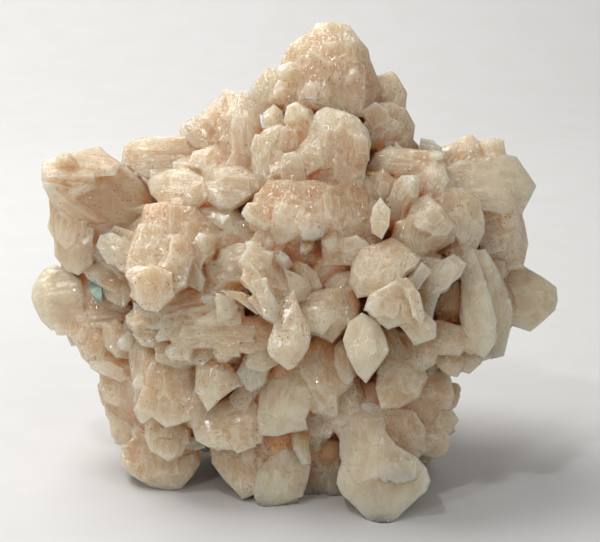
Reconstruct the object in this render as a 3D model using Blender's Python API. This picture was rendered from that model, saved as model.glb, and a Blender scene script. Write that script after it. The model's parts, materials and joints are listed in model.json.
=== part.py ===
"""A cluster of stilbite crystals that grew together, with one small green crystal in a hollow.

The crystals are flat tablets. Each one on the face is placed by the corners that are seen by
someone who stands in front of the cluster and looks a little down on it.
Lengths are millimetres and are turned to metres when a mesh is made. +Z is up, +X is to the
right, and the face of the cluster looks towards -Y. The origin is on the flat underside.
"""

import math
import random

import bmesh
import bpy
from mathutils import Matrix, Vector

MM = 0.001
SEED = 11

# The eye that the lists are measured by: how far it looks down, how far it is from the middle
# of the cluster, and where that middle is.
LOOK_DOWN = math.radians(15.0)
EYE_DISTANCE = 500.0
MIDDLE = Vector((0.0, 0.0, 52.5))
MIDDLE_UP = 64.25

# The slanting rim of a tablet's front face, and the width from which it has its own facets.
RIM_SHARE = 0.13
RIM_MOST = 1.3
RIM_STEEP = 0.9
FACETS_FROM = 15.0

# Habit of a crystal that is spread by a loop, as shares of its width or its length.
THICK_SHARE = 0.46
ROOT_SHARE = 0.84
SHOULDER_SHARE = 0.74
SHOULDER_SPREAD = (-0.10, 0.08)
LEAN_SPREAD = (-0.3, 0.3)

# The green crystal: its size, how wide it is at two levels, and the room left around it.
GREEN_TIP = (-49.6, 56.4, 5.5)
GREEN_ROOT = (-51.6, 61.6, 0.5)
GREEN_WIDE = 4.6
GREEN_LEVELS = ((0.0, 0.7), (0.55, 1.0))
GREEN_SPIN = 0.4
GREEN_FLATNESS = 0.8
GREEN_GAP = 0.35
GREEN_TIP_GAP = 1.6
GREEN_CLEAR = 11.0

# The crystals that are spread by a loop: large ones on the back and the sides, and small ones
# on the face. A spot belongs to the face or the back by how far its way out faces the viewer.
BACK_SPACING = 19.0
BACK_FACING = -0.05
BACK_LENGTH = (17, 26)
BACK_WIDE = (13, 19)
BACK_SWAY = 0.6
FACE_SPACING = 15.0
FACE_FACING = 0.4
FACE_LENGTH = (9, 14)
FACE_WIDE = (6, 9)
FACE_SWAY = 0.8
STANDING_BLUNT = (0.1, 0.45)
STANDING_SUNK = 0.4
SWAY_UP = (-0.7, 0.8)
FACING_BIAS = Vector((0.3, 0.2, 0.5))
LOWEST_SPOT = 3.0
COVERED_SHARE = 0.99
DRAW_IN_TRIES = 8
DRAW_IN_STEP = 3.0
DRAW_IN_SHARE = 0.96
HIDDEN_MARGIN = 1.0
GOLDEN_ANGLE = math.pi * (3.0 - math.sqrt(5.0))

# The balls of the mass, which are a little uneven.
BALL_SPREAD = (0.94, 1.05)
INNER_PLACE = (0, 60, -12)
INNER_RADIUS = 12
GROUND_BLOCK = (300, 300, 60)

CREAM = (0.66, 0.50, 0.36, 1.0)
CREAM_ROUGHNESS = 0.35
GREEN = (0.20, 0.30, 0.25, 1.0)
GREEN_ROUGHNESS = 0.3

RIGHT_OF_VIEW = Vector((1.0, 0.0, 0.0))
UP_OF_VIEW = Vector((0.0, math.sin(LOOK_DOWN), math.cos(LOOK_DOWN)))
OUT_OF_VIEW = Vector((0.0, -math.cos(LOOK_DOWN), math.sin(LOOK_DOWN)))
EYE = MIDDLE + OUT_OF_VIEW * EYE_DISTANCE


def seen(across, up, out):
    """The place that is seen this far across and up the face, and stands this far out of it."""
    nearness = (EYE_DISTANCE - out) / EYE_DISTANCE
    flat = RIGHT_OF_VIEW * across + UP_OF_VIEW * (up - MIDDLE_UP)
    return MIDDLE + flat * nearness + OUT_OF_VIEW * out


def as_seen(place):
    """How far across and up the face a place is seen."""
    away = place - MIDDLE
    nearness = 1.0 - away.dot(OUT_OF_VIEW) / EYE_DISTANCE
    across = away.dot(RIGHT_OF_VIEW) / nearness
    return across, away.dot(UP_OF_VIEW) / nearness + MIDDLE_UP


def axes(origin, along, facing):
    """A matrix with a crystal's width on X, its thickness inwards on Y and its tip on +Z."""
    basis = Matrix((along.cross(facing), -facing, along)).transposed()
    return Matrix.Translation(origin) @ basis.to_4x4()


def tablet(corners, out, face, way, thick):
    """One listed crystal, by the corners of its front face as (across, up).

    out is how far its middle stands out of the cluster's face. face is how many degrees its
    front is turned to the right and up. way is where its tip points, in degrees from up
    through right.
    """
    across = sum(corner[0] for corner in corners) / len(corners)
    up = sum(corner[1] for corner in corners) / len(corners)
    right, high = (math.tan(math.radians(angle)) for angle in face)
    facing = (OUT_OF_VIEW + RIGHT_OF_VIEW * right + UP_OF_VIEW * high).normalized()
    angle = math.radians(way)
    along = UP_OF_VIEW * math.cos(angle) + RIGHT_OF_VIEW * math.sin(angle)
    along = (along - facing * along.dot(facing)).normalized()
    place = axes(seen(across, up, out), along, facing)
    eye = place.inverted() @ EYE
    outline = []
    for corner in corners:
        ray = place.inverted() @ seen(*corner, 0.0) - eye
        hit = eye - ray * (eye.y / ray.y)
        outline.append((hit.x, hit.z))
    return {"place": place, "outline": outline, "eye": eye, "thick": thick, "corners": corners}


def crown():
    """The large upright tablets at the top and the broad one in front of them."""
    return [
        tablet(
            [(5, 125.6), (0, 123), (-2.6, 121), (-4.5, 117.5), (-6, 112), (-8.6, 106.5), (-4, 103.5),
             (3, 106), (6, 118)],
            2.5, (-30, 8), 12, 9,
        ),
        tablet(
            [(4, 126), (7.5, 126.6), (10.5, 126.2), (12, 118), (12, 108), (10, 103.8), (3, 104.5),
             (-4, 105), (-3, 112), (0, 120)],
            5, (-4, 5), 8, 10,
        ),
        tablet(
            [(9, 126.4), (12.5, 125.6), (14.7, 122.5), (17, 119.6), (17.5, 117.4), (19.2, 113),
             (20.2, 109.5), (17, 102.5), (11, 103), (9, 112)],
            4, (26, 8), 2, 10,
        ),
        tablet(
            [(-5.2, 115.1), (-8.5, 115), (-10, 113.5), (-12.5, 110), (-11, 104), (-7, 102), (-3, 106),
             (-3, 113)],
            -8, (-20, 10), -20, 7,
        ),
        tablet(
            [(17, 113), (19.2, 113.1), (23, 114.3), (24, 113.5), (26.8, 108.8), (26.3, 104.5), (20, 99),
             (14, 102)],
            -3, (22, 10), 20, 8,
        ),
        tablet(
            [(26.3, 105), (28.8, 100.7), (28.5, 98.5), (27.7, 94.4), (22, 93.5), (17, 95), (16, 101.5),
             (19.5, 106.2), (23, 106.5)],
            3, (22, -6), 60, 9,
        ),
        tablet(
            [(6.5, 105.3), (11, 104.2), (14.5, 102.6), (17, 99.5), (17.8, 96.5), (17, 91.5), (15.5, 85),
             (9, 83), (1, 84), (-0.8, 89), (-2, 93.5), (1.5, 97), (2.2, 101), (4.3, 104.2)],
            16, (4, 10), 0, 10,
        ),
        tablet(
            [(-2, 93.5), (1, 96.8), (5, 97.5), (6, 91), (2, 88), (-1, 90)],
            17, (-25, 10), -60, 6,
        ),
    ]


def upper_left():
    """Tablets between the crown and the left shoulder."""
    return [
        tablet(
            [(-20.4, 107), (-19, 109.8), (-16, 108.9), (-14.5, 104), (-14.5, 96), (-13.5, 90),
             (-18.5, 89.5), (-20, 95), (-21, 102)],
            5, (-25, 12), -8, 8,
        ),
        tablet(
            [(-15.8, 108.6), (-13, 109.4), (-12.2, 108.3), (-10.4, 105), (-9.3, 99), (-10.5, 92),
             (-13, 89.5), (-16, 91), (-17, 98), (-17, 103)],
            7.5, (12, 8), -4, 8,
        ),
        tablet(
            [(-19, 109.5), (-20.5, 107.7), (-25, 103.6), (-29.6, 101.1), (-30.2, 99.4), (-28.5, 94),
             (-24, 90), (-17, 90), (-17, 100)],
            1, (-22, 15), -40, 9,
        ),
        tablet(
            [(-28.4, 90.8), (-26.8, 94.2), (-24, 94.9), (-21, 96), (-18.8, 94), (-18, 90), (-22, 88.5)],
            7, (-10, 25), -50, 7,
        ),
        tablet(
            [(-11.7, 96.5), (-9, 99.5), (-5, 101), (-1.2, 99), (-3, 95), (-6, 89.8), (-8, 85.4),
             (-10.2, 82.4), (-11.2, 86.5), (-12.2, 91.5)],
            13.5, (-28, 14), 196, 7,
        ),
        tablet(
            [(-9.3, 103.8), (-6.6, 105.9), (-4.4, 104.2), (-3.4, 100.7), (-6, 99), (-9.5, 100)],
            9, (10, 20), -30, 7,
        ),
        tablet(
            [(-44.6, 91.3), (-44.2, 95.2), (-41.2, 97.3), (-37, 98), (-32, 97), (-27, 98), (-22, 96),
             (-24, 91), (-32, 88.5), (-40, 88)],
            -3, (-12, 30), -85, 9,
        ),
        tablet(
            [(-38.1, 86.2), (-37, 87.8), (-33, 89.7), (-28, 89.8), (-24, 87.5), (-23, 83), (-25.5, 80),
             (-31, 80), (-35, 81.2), (-37.3, 83.3)],
            9, (-25, 15), -80, 9,
        ),
        tablet(
            [(-27, 89.2), (-22, 90.2), (-14.5, 90.5), (-11.2, 88.6), (-9.7, 85), (-13, 82.3), (-17.5, 79.7),
             (-22, 80.5), (-25.5, 83)],
            12.5, (-5, 22), -85, 10,
        ),
        tablet(
            [(-25.8, 80.1), (-20, 80.5), (-14, 78.5), (-13.3, 75.5), (-16.5, 74.1), (-20, 75), (-24, 77.3)],
            14, (-8, 28), 110, 8,
        ),
    ]


def left_side():
    """The left shoulder block and all below it, down to the ground."""
    return [
        tablet(
            [(-64.6, 91.6), (-61, 92.9), (-54.5, 94.4), (-50, 95.4), (-48.4, 93.8), (-44.8, 91.2),
             (-46, 88), (-54, 87.5), (-64, 88)],
            2, (0, 42), -75, 10,
        ),
        tablet(
            [(-64.6, 90.3), (-57, 90.9), (-50, 90.1), (-43.5, 90.3), (-39.5, 86.5), (-36.5, 82), (-39, 75),
             (-45, 73), (-51, 72), (-55, 74), (-60, 78.5), (-63, 82.5), (-64.7, 87)],
            3, (16, -2), -60, 12,
        ),
        tablet(
            [(-62.8, 82.3), (-58, 81), (-53.5, 76.5), (-51.6, 71), (-52, 66), (-55.5, 63.2), (-58.6, 64.4),
             (-61.3, 68), (-61.4, 71), (-62.4, 77)],
            3.5, (-20, 5), 185, 11,
        ),
        tablet(
            [(-54.8, 64.8), (-54, 67.5), (-51, 69.5), (-46, 68.7), (-43, 66.3), (-42, 62), (-42, 57.5),
             (-44, 55), (-48, 57), (-50, 60), (-53, 62.3)],
            4.5, (-5, 10), -60, 9,
        ),
        tablet(
            [(-63.3, 65.4), (-65, 63.5), (-66.7, 60.5), (-67.1, 57.5), (-66.2, 54.8), (-64.6, 51.8),
             (-62.2, 49.4), (-58, 49.5), (-54, 52.5), (-54.3, 58), (-54.8, 62), (-57.5, 64), (-61, 65.8)],
            -1, (-15, 8), -95, 11,
        ),
        tablet(
            [(-56, 53), (-50.5, 55.5), (-46, 56.5), (-42.5, 54), (-44, 50), (-50, 50), (-56, 49)],
            1.5, (-5, 14), -95, 8,
        ),
        tablet(
            [(-59, 54.8), (-60.3, 49.8), (-57.5, 47.9), (-55.6, 45), (-54.5, 42.4), (-52, 40.5), (-47, 41),
             (-44, 46), (-46, 52), (-50, 54.5)],
            2, (-12, 12), 200, 9,
        ),
        tablet(
            [(-49.6, 51), (-46, 52.4), (-43.3, 50), (-41.5, 45), (-42.3, 42.2), (-46, 42.6), (-48.7, 45.3)],
            6, (-10, 15), 170, 7,
        ),
        tablet(
            [(-53, 41.6), (-48, 43.5), (-43.5, 43), (-41.8, 40), (-42.3, 37.3), (-45, 36.3), (-49.4, 38.3),
             (-52.2, 39.8)],
            4.5, (0, 20), -60, 8,
        ),
        tablet(
            [(-50, 39), (-45, 39.5), (-42, 38), (-42, 31), (-46, 30.5), (-48.8, 31.8), (-50.1, 35.5)],
            3.5, (-15, 10), 190, 8,
        ),
        tablet(
            [(-50, 36.6), (-49.2, 32), (-48, 27.4), (-46.4, 21.2), (-43.5, 20.2), (-39, 19.5), (-37, 23),
             (-38, 28), (-41, 33), (-44, 38)],
            1, (-15, 5), 185, 9,
        ),
        tablet(
            [(-39, 80.8), (-33.5, 81.7), (-29, 80), (-28, 72), (-29, 65), (-29.5, 61), (-31.5, 57.3),
             (-35.5, 53.9), (-39, 54.6), (-41, 56.6), (-42.7, 61), (-43.7, 65), (-42.3, 69), (-40.5, 73)],
            19, (-14, 28), 186, 12,
        ),
        tablet(
            [(-33, 81), (-26, 80.3), (-20, 75), (-20.8, 71), (-23.5, 67.3), (-25.5, 63.3), (-27.6, 60.3),
             (-30, 61.3), (-33, 66), (-33, 74)],
            18.5, (22, 24), 175, 12,
        ),
        tablet(
            [(-42, 62.5), (-37, 66), (-32, 64), (-31.2, 58), (-35.5, 54), (-39, 54.7), (-41, 56.7)],
            25.5, (-10, 2), 186, 6,
        ),
        tablet(
            [(-37, 47.5), (-31, 45.5), (-25, 45), (-24.5, 41), (-30, 39.5), (-36, 41.5)],
            15, (0, 15), 180, 8,
        ),
        tablet(
            [(-43, 45.8), (-41, 47), (-36.5, 44), (-35.5, 37), (-36, 31), (-38, 28.3), (-41, 33),
             (-42.3, 38.5)],
            12, (-30, 14), 180, 8,
        ),
        tablet(
            [(-39.5, 43.5), (-35, 43.5), (-29, 42), (-25, 41), (-24.6, 35), (-26, 31), (-27.4, 27),
             (-30.5, 25.9), (-33.5, 25.1), (-36.5, 27.3), (-38.6, 30), (-39, 36)],
            15.5, (6, 20), 178, 11,
        ),
        tablet(
            [(-25.3, 43.5), (-19, 42.5), (-16.2, 39.6), (-15.2, 37), (-16, 35.1), (-20, 32), (-23, 29.1),
             (-24.4, 31.5), (-26.2, 34.3), (-26, 39)],
            20, (10, 22), 190, 8,
        ),
        tablet(
            [(-38.5, 29), (-38.8, 23), (-37.5, 19.2), (-33, 16.6), (-29.5, 18.3), (-27.2, 23.3), (-27, 29)],
            9, (-4, 12), 180, 10,
        ),
        tablet(
            [(-43.4, 21.6), (-44.7, 17), (-44.4, 15.2), (-41.5, 12.9), (-37.5, 10.4), (-32.5, 9.4),
             (-29.7, 9.9), (-27, 12.9), (-24.9, 16.2), (-25.3, 20.5), (-30, 24), (-38, 24)],
            4, (-4, -6), 175, 11,
        ),
    ]


def centre():
    """The sheaves and leaves in the middle of the face."""
    return [
        tablet(
            [(-11.3, 83), (-8, 87), (-2, 87), (1.5, 85), (2, 78), (0, 73), (-4.5, 70.8), (-9, 72.3),
             (-12.7, 75), (-13.2, 79)],
            20.5, (-12, 18), 190, 10,
        ),
        tablet(
            [(-1.5, 86.5), (4, 87), (10.5, 85.5), (12.5, 80), (11, 74.5), (6, 72), (0.5, 72.3), (-1.5, 78)],
            21.5, (4, 20), 180, 10,
        ),
        tablet(
            [(9, 86), (14, 87), (17, 84.5), (17.6, 79), (16.3, 73.5), (12, 71), (9, 74)],
            19, (16, 16), 175, 10,
        ),
        tablet(
            [(-7, 73.5), (-2, 75), (2, 73), (3.5, 69.5), (-1, 67.3), (-5, 69)],
            19, (10, -10), 110, 7,
        ),
        tablet(
            [(-21.4, 63.6), (-21.2, 66.5), (-20, 69.6), (-15.5, 71.2), (-11.5, 71.6), (-10.5, 67),
             (-13.5, 63.8), (-17, 63.1)],
            16.5, (-16, 10), -100, 8,
        ),
        tablet(
            [(-21.2, 58.7), (-17.5, 58.4), (-15.3, 55.5), (-16.7, 52.1), (-20.8, 51)],
            22, (15, 0), 160, 6,
        ),
        tablet(
            [(-20, 59.5), (-15, 59.2), (-10, 57.2), (-7.2, 55), (-8.5, 53.2), (-11, 53.4), (-14.5, 56),
             (-17.7, 58)],
            23, (0, 25), 115, 6,
        ),
        tablet(
            [(-41.7, 56.6), (-38, 54.2), (-33, 55), (-28, 58.5), (-23, 60.5), (-18, 59), (-14, 56),
             (-14, 51), (-20, 49.5), (-30, 49.5), (-38, 49.7), (-41.2, 52)],
            18, (-10, 18), -95, 9,
        ),
        tablet(
            [(-35.3, 50.3), (-30.6, 44.6), (-25, 45), (-18, 44.8), (-12.8, 43.4), (-8, 44.9), (-5, 48),
             (-5, 54), (-13, 53), (-20, 51.7), (-28, 51.3)],
            21, (-5, 20), -88, 9,
        ),
        tablet(
            [(-25.3, 45.5), (-14, 45), (-12.7, 43), (-12.9, 40.3), (-17, 41), (-22, 42), (-26, 43)],
            18, (0, -12), 95, 8,
        ),
        tablet(
            [(-13.7, 71.6), (-11.5, 72), (-9, 70.6), (-5, 66.4), (-1.5, 63.6), (-0.8, 59), (-1.3, 55.5),
             (-4, 54), (-6.3, 54), (-10, 57.4), (-12.3, 59.1), (-14.7, 62.1), (-14.3, 65), (-12.8, 68)],
            26, (10, 24), 150, 10,
        ),
        tablet(
            [(-14.8, 62), (-14.2, 65), (-12.3, 67), (-9.3, 62.3), (-6.2, 57.5), (-6, 54.2), (-8, 55),
             (-12.3, 59)],
            28.5, (-26, 14), 155, 6,
        ),
        tablet(
            [(-4, 65), (-1.5, 64), (2, 62.2), (3.1, 60.3), (1.5, 57), (-2, 56)],
            24, (15, 10), 140, 8,
        ),
        tablet(
            [(-5.5, 56.5), (-1.5, 59.5), (-0.3, 56), (1, 53), (2.5, 50), (2.6, 47), (2, 44.6), (0.5, 42.3),
             (-1.5, 40), (-3, 39.4), (-5.2, 41), (-7.6, 42.9), (-8.1, 44.7), (-7.8, 47), (-6.8, 50)],
            31, (-4, 26), 180, 9,
        ),
        tablet(
            [(-1, 57), (4, 59.2), (9, 60.5), (13.2, 59.8), (15.2, 56), (14.6, 53), (12, 50.9), (10, 48.4),
             (8, 46.2), (6, 47.4), (2.5, 48.6), (-0.5, 52)],
            24, (2, 18), 178, 9,
        ),
        tablet(
            [(-3, 66.3), (0, 66.8), (4, 64.3), (5.7, 60.5), (4, 57.3), (0, 56.8), (-2, 60)],
            21, (-8, 8), 175, 7,
        ),
        tablet(
            [(5.5, 61), (9, 63.8), (12.6, 64.3), (14.2, 61), (12, 58), (8, 58)],
            20.5, (-10, 15), 40, 7,
        ),
        tablet(
            [(12.2, 51.6), (15.5, 53.8), (19.5, 51.8), (21.6, 47.5), (22.3, 44.3), (20, 40.7), (16.5, 36.1),
             (14.2, 38.5), (11.9, 42.8), (10.7, 47)],
            31, (4, 24), 178, 10,
        ),
        tablet(
            [(0, 45.5), (4, 48), (10, 48), (14, 43), (13.4, 36), (12.1, 34.4), (8.5, 32.3), (5, 33.5),
             (2.3, 35), (-0.2, 39)],
            21, (4, 16), 175, 9,
        ),
        tablet(
            [(8.2, 32.3), (12.8, 33.5), (13, 27), (12.6, 22.3), (10, 21.8), (7.7, 26), (8.4, 29.5)],
            16, (-12, 10), 185, 7,
        ),
        tablet(
            [(-10.3, 23.3), (-10.7, 28), (-10.1, 34.5), (-7.5, 38.8), (-4, 41.3), (0.7, 40.2), (3.1, 35),
             (2.6, 30), (1.3, 27), (2.1, 24.5), (-2.5, 24), (-5.5, 23)],
            20.5, (-12, 20), 184, 10,
        ),
        tablet(
            [(-27.2, 26), (-26.1, 21.9), (-23, 20.2), (-18.5, 19.5), (-14, 20.3), (-9.5, 21.3), (-9, 28),
             (-12, 33.5), (-17, 34), (-21, 32), (-24.7, 29.3)],
            15, (-6, 20), -110, 10,
        ),
    ]


def bottom():
    """The lowest tablets, with the large one at the right that reaches the ground."""
    return [
        tablet(
            [(-22.7, 20), (-22.1, 16.2), (-18.6, 11.6), (-14.3, 7.1), (-11.8, 8.2), (-9.5, 13), (-9, 20),
             (-13, 22), (-18, 21.5)],
            10, (-8, 14), 172, 9,
        ),
        tablet(
            [(-11.9, 9.5), (-10.6, 5.5), (-8.8, 4.7), (-3, 6.4), (0.5, 7.9), (1.9, 11.5), (2.8, 15.4),
             (1, 19), (-3.5, 19.8), (-7, 18), (-10.5, 14.8)],
            13, (-4, 10), 190, 10,
        ),
        tablet(
            [(0, 22), (6, 23), (12, 21), (12, 14), (8.5, 11.5), (4, 12), (0, 15)],
            7, (0, -10), 180, 9,
        ),
        tablet(
            [(12.4, 36.5), (12.5, 24.5), (11.5, 19.5), (9.7, 14.5), (9.1, 11.3), (10.2, 8.6), (16.5, 2.6),
             (20.6, -0.4), (22.3, 0.7), (28, 6), (31.6, 9.3), (32.6, 11.8), (31.6, 15), (29, 17.9),
             (24.2, 20.6), (21.2, 24.5), (20.4, 29), (18.8, 36.5)],
            21.5, (-8, 22), 178, 11,
        ),
        tablet(
            [(18.8, 35), (19.8, 40), (23, 45), (26.5, 44.6), (30.6, 41.2), (31.9, 37.5), (29.8, 32.8),
             (25, 30), (20.3, 29.8)],
            19, (14, 10), 30, 9,
        ),
        tablet(
            [(29, 36), (31.5, 39.5), (36, 39.3), (37.8, 37.1), (38.6, 33), (37.6, 29.7), (33, 28.7),
             (28.5, 31.3)],
            9, (20, 0), 80, 9,
        ),
        tablet(
            [(26, 29.5), (33, 30.6), (37.5, 30.1), (39.8, 27), (37.2, 23.3), (33, 22.8), (27, 25)],
            8, (14, 12), 92, 8,
        ),
        tablet(
            [(27, 26.3), (33, 25.7), (37, 23.9), (37.4, 20.5), (36.4, 18.4), (33.5, 17.5), (31, 18.1),
             (27, 21)],
            9.5, (12, -4), 110, 8,
        ),
        tablet(
            [(20.5, 27.5), (23.5, 30), (28.3, 29.5), (31.3, 25.2), (31.8, 19.3), (29, 17.2), (23.5, 18.3),
             (21, 22)],
            15, (18, -6), 150, 9,
        ),
    ]


def right_side():
    """The right shoulder, the steep sheaf below it and the tablet at the far right."""
    return [
        tablet(
            [(14.8, 69.8), (19, 71), (23, 72.7), (26.3, 70.7), (30.2, 67.5), (28.7, 65), (25.7, 63.5),
             (22.5, 60.7), (19, 58.5), (14.3, 57.5), (12.3, 61.5), (12.9, 66)],
            26, (-6, 22), 200, 12,
        ),
        tablet(
            [(16, 54.7), (17.4, 58.6), (21.5, 60.6), (24, 62), (27.6, 59), (29.4, 55), (29.9, 51.3),
             (25.5, 50.8), (22, 49.6), (19.7, 51.3), (18.1, 54)],
            29.5, (4, 8), 185, 12,
        ),
        tablet(
            [(23, 62.5), (27, 62.5), (30, 58.5), (31.3, 53), (30.3, 50.5), (28.5, 52.5), (27, 57)],
            30.5, (-20, 10), 165, 8,
        ),
        tablet(
            [(28.5, 60), (33.5, 66), (38.5, 68.5), (41.7, 66), (40.2, 62.8), (37.5, 60.8), (35, 59),
             (34, 56), (33, 51.6), (31, 51.8), (30, 56.5)],
            22, (-12, 20), -150, 9,
        ),
        tablet(
            [(39.8, 68.8), (43.5, 70), (45.7, 64), (47.7, 58), (49.2, 52), (48.7, 46), (46, 42.3), (43, 44),
             (40.6, 49.5), (39.8, 53), (40.6, 60)],
            17, (-24, 8), 172, 9,
        ),
        tablet(
            [(43.5, 69.5), (46.5, 69.8), (49.3, 65), (51.7, 59.5), (53.2, 54), (52.2, 48), (51, 43),
             (47.5, 42.2), (46, 52), (45, 60)],
            14, (22, 4), 172, 10,
        ),
        tablet(
            [(35, 60.5), (39.5, 62), (41, 56), (40, 50), (35.5, 49.5), (33.5, 54)],
            12, (-8, -5), 175, 8,
        ),
        tablet(
            [(31, 51.5), (35, 52), (40.5, 50.5), (43, 47), (40, 43), (34, 43.5), (30, 46.5)],
            17, (-4, 12), 190, 9,
        ),
        tablet(
            [(26, 47.5), (31, 48.5), (34.5, 45.5), (33.8, 41), (31, 39.3), (27.7, 41)],
            17, (6, 8), 170, 8,
        ),
        tablet(
            [(33, 46), (38, 47.5), (41, 44.5), (41, 40.5), (39.3, 37.7), (37, 38.2), (34.3, 40.3)],
            12.5, (6, 10), 170, 8,
        ),
        tablet(
            [(39, 49), (44, 49), (46.7, 45), (45.4, 41.2), (42.4, 38.6), (40, 39.3), (38.5, 44)],
            11, (14, 6), 165, 8,
        ),
        tablet(
            [(47, 62.5), (51, 65.3), (55.5, 65.7), (60.5, 62.9), (64.1, 60.2), (64.4, 57), (63.8, 54.4),
             (60.5, 51.4), (57.5, 49.1), (52.5, 50.8), (47, 54)],
            -3, (12, 10), 95, 9,
        ),
        tablet(
            [(44.5, 80.5), (50, 81.3), (54.9, 80), (56.1, 76.5), (57.1, 71), (56.4, 67.8), (55.6, 64.8),
             (51, 64.3), (46, 67), (44, 73)],
            3.5, (22, 0), 80, 10,
        ),
        tablet(
            [(35.2, 84.8), (40.5, 85), (44.7, 82.2), (46, 78), (46.2, 74), (44.4, 69.8), (42, 69.3),
             (39.7, 72), (37, 75.5), (34.5, 79.5)],
            14, (10, 14), 170, 11,
        ),
        tablet(
            [(36, 73), (40, 73), (44, 70), (45.5, 66.5), (43, 64.5), (38, 66.5), (34.5, 70)],
            14, (0, 20), 175, 9,
        ),
        tablet(
            [(26.5, 77.5), (28.4, 82.2), (32, 83.3), (35.6, 80.3), (38.8, 75.5), (36.5, 72.8), (33.3, 73.3),
             (29.5, 74.8)],
            19.5, (0, 26), -140, 9,
        ),
        tablet(
            [(23.3, 86), (25.5, 88.3), (28.2, 86.8), (29.2, 83), (27.5, 80), (24, 80), (22.6, 83)],
            16, (-5, 14), 180, 8,
        ),
        tablet(
            [(23.8, 76.5), (28, 77.8), (31.8, 75.8), (33.3, 71.5), (32.2, 68.8), (28.5, 66.3), (25, 68.5),
             (22.8, 72.5)],
            20, (10, 8), 170, 9,
        ),
        tablet(
            [(20.2, 82.8), (21.3, 81), (22.6, 79.5), (22.2, 75.5), (20.5, 72.2), (18, 73.8), (17.5, 77),
             (18.3, 80.5)],
            24, (-16, 12), 5, 11,
        ),
        tablet(
            [(16.6, 90), (19, 93.7), (22.5, 95), (28, 94.8), (34, 94.2), (36.5, 91), (33, 88), (27, 88.2),
             (22, 88.5)],
            9.5, (0, 22), -85, 9,
        ),
        tablet(
            [(16.5, 89), (21, 89.5), (24, 87), (23.5, 82.5), (19.5, 82), (17, 84.5)],
            15, (0, 10), 190, 8,
        ),
        tablet(
            [(30.2, 97.5), (33.3, 96.9), (35.3, 95), (35, 91), (30.5, 91), (29.8, 95)],
            -2, (-10, 15), -10, 7,
        ),
        tablet(
            [(34.3, 95), (37.5, 95.9), (41, 97.9), (42.8, 98.7), (44.8, 96.3), (46.5, 90), (40, 87),
             (33.5, 89)],
            -2, (-10, 14), 25, 8,
        ),
        tablet(
            [(44.3, 96.6), (48.5, 97.5), (50.9, 97.1), (51.3, 94.5), (51.5, 90), (50, 86), (43, 88)],
            -4, (12, 10), 15, 8,
        ),
        tablet(
            [(35.5, 90), (43, 92.8), (51, 93.5), (54, 92.9), (57, 88.6), (59.1, 85.5), (57.4, 82),
             (55.4, 78.5), (50, 78.5), (44, 80), (38, 82.5), (34.5, 86)],
            3.5, (10, 20), 85, 10,
        ),
        tablet(
            [(31.2, 90.5), (33, 92.5), (36.2, 90.8), (37.3, 87), (35.7, 83.7), (32.3, 83.2), (30.7, 86.5)],
            12.5, (-20, 14), 20, 8,
        ),
    ]


def lumps():
    """The grown mass that the crystals stand on, as balls: centre as seen, and radius."""
    return [
        ((-2.0, 62.0, -12), 30),
        ((0.0, 46.0, -8), 28),
        ((0.0, 80.0, 1), 17),
        ((7.5, 104.0, -9), 12),
        ((-1.0, 94.0, -6), 11),
        ((20.0, 91.0, -8), 11),
        ((-18.0, 86.0, -9), 15),
        ((-47.0, 79.0, -15), 13),
        ((-48.0, 57.0, -11), 13),
        ((-50.0, 69.0, -13), 11),
        ((-30.0, 66.0, -2), 17),
        ((-34.0, 36.0, -8), 17),
        ((-6.0, 25.0, -6), 19),
        ((22.0, 32.0, -3), 17),
        ((38.0, 79.0, -11), 16),
        ((24.0, 76.0, 0), 16),
        ((38.0, 57.0, -8), 17),
        ((18.0, 64.0, -19), 23),
        ((-24.0, 60.0, -20), 22),
        ((6.0, 18.0, -14), 18),
    ]


def width_of(outline):
    """How wide an outline is across the crystal, and how long along it."""
    across, along = zip(*outline)
    return max(across) - min(across), max(along) - min(along)


def ring_of(entry, depth, inset):
    """The outline of a crystal at some depth behind its front face, drawn in by an inset.

    The sides of a listed crystal run back along the way it is looked at.
    """
    outline = entry["outline"]
    wide, length = width_of(outline)
    middle_x = sum(x for x, z in outline) / len(outline)
    middle_z = sum(z for x, z in outline) / len(outline)
    ring = []
    for x, z in outline:
        x -= (x - middle_x) * 2 * inset / wide
        z -= (z - middle_z) * 2 * inset / length
        spot = Vector((x, 0.0, z))
        if entry["eye"]:
            spot = entry["eye"] + (spot - entry["eye"]) * (1.0 - depth / entry["eye"].y)
        else:
            spot.y = depth
        ring.append(entry["place"] @ spot)
    return ring


def crystal_mesh(entry):
    """The closed shape of one crystal."""
    wide, length = width_of(entry["outline"])
    rim = min(min(wide, length) * RIM_SHARE, RIM_MOST)
    levels = [(0.0, rim), (entry["thick"], 0.0)]
    if min(wide, length) >= FACETS_FROM:
        levels.insert(1, (rim * RIM_STEEP, 0.0))
    shape = bmesh.new()
    rings = [[shape.verts.new(spot) for spot in ring_of(entry, *level)] for level in levels]
    shape.faces.new(rings[0])
    shape.faces.new(list(reversed(rings[-1])))
    count = len(rings[0])
    for near, far in zip(rings[:-1], rings[1:]):
        for index in range(count):
            after = (index + 1) % count
            shape.faces.new((near[after], near[index], far[index], far[after]))
    return shape


def ball_mesh(centre, radius, rng):
    """An uneven faceted ball."""
    ball = bmesh.new()
    bmesh.ops.create_icosphere(ball, subdivisions=1, radius=radius)
    for vert in ball.verts:
        vert.co *= rng.uniform(*BALL_SPREAD)
        vert.co += centre
    return ball


def behind_mass(place):
    """Whether the mass hides a place from someone who looks at the face."""
    for centre, radius in lumps():
        aside = place - seen(*centre)
        aside -= OUT_OF_VIEW * aside.dot(OUT_OF_VIEW)
        if aside.length < radius - HIDDEN_MARGIN:
            return True
    return False


def spread_directions(count):
    """Directions all round, evenly spaced by the golden angle."""
    for index in range(count):
        height = 1.0 - 2.0 * (index + 0.5) / count
        level = math.sqrt(1.0 - height * height)
        angle = GOLDEN_ANGLE * index
        yield Vector((level * math.cos(angle), level * math.sin(angle), height))


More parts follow.
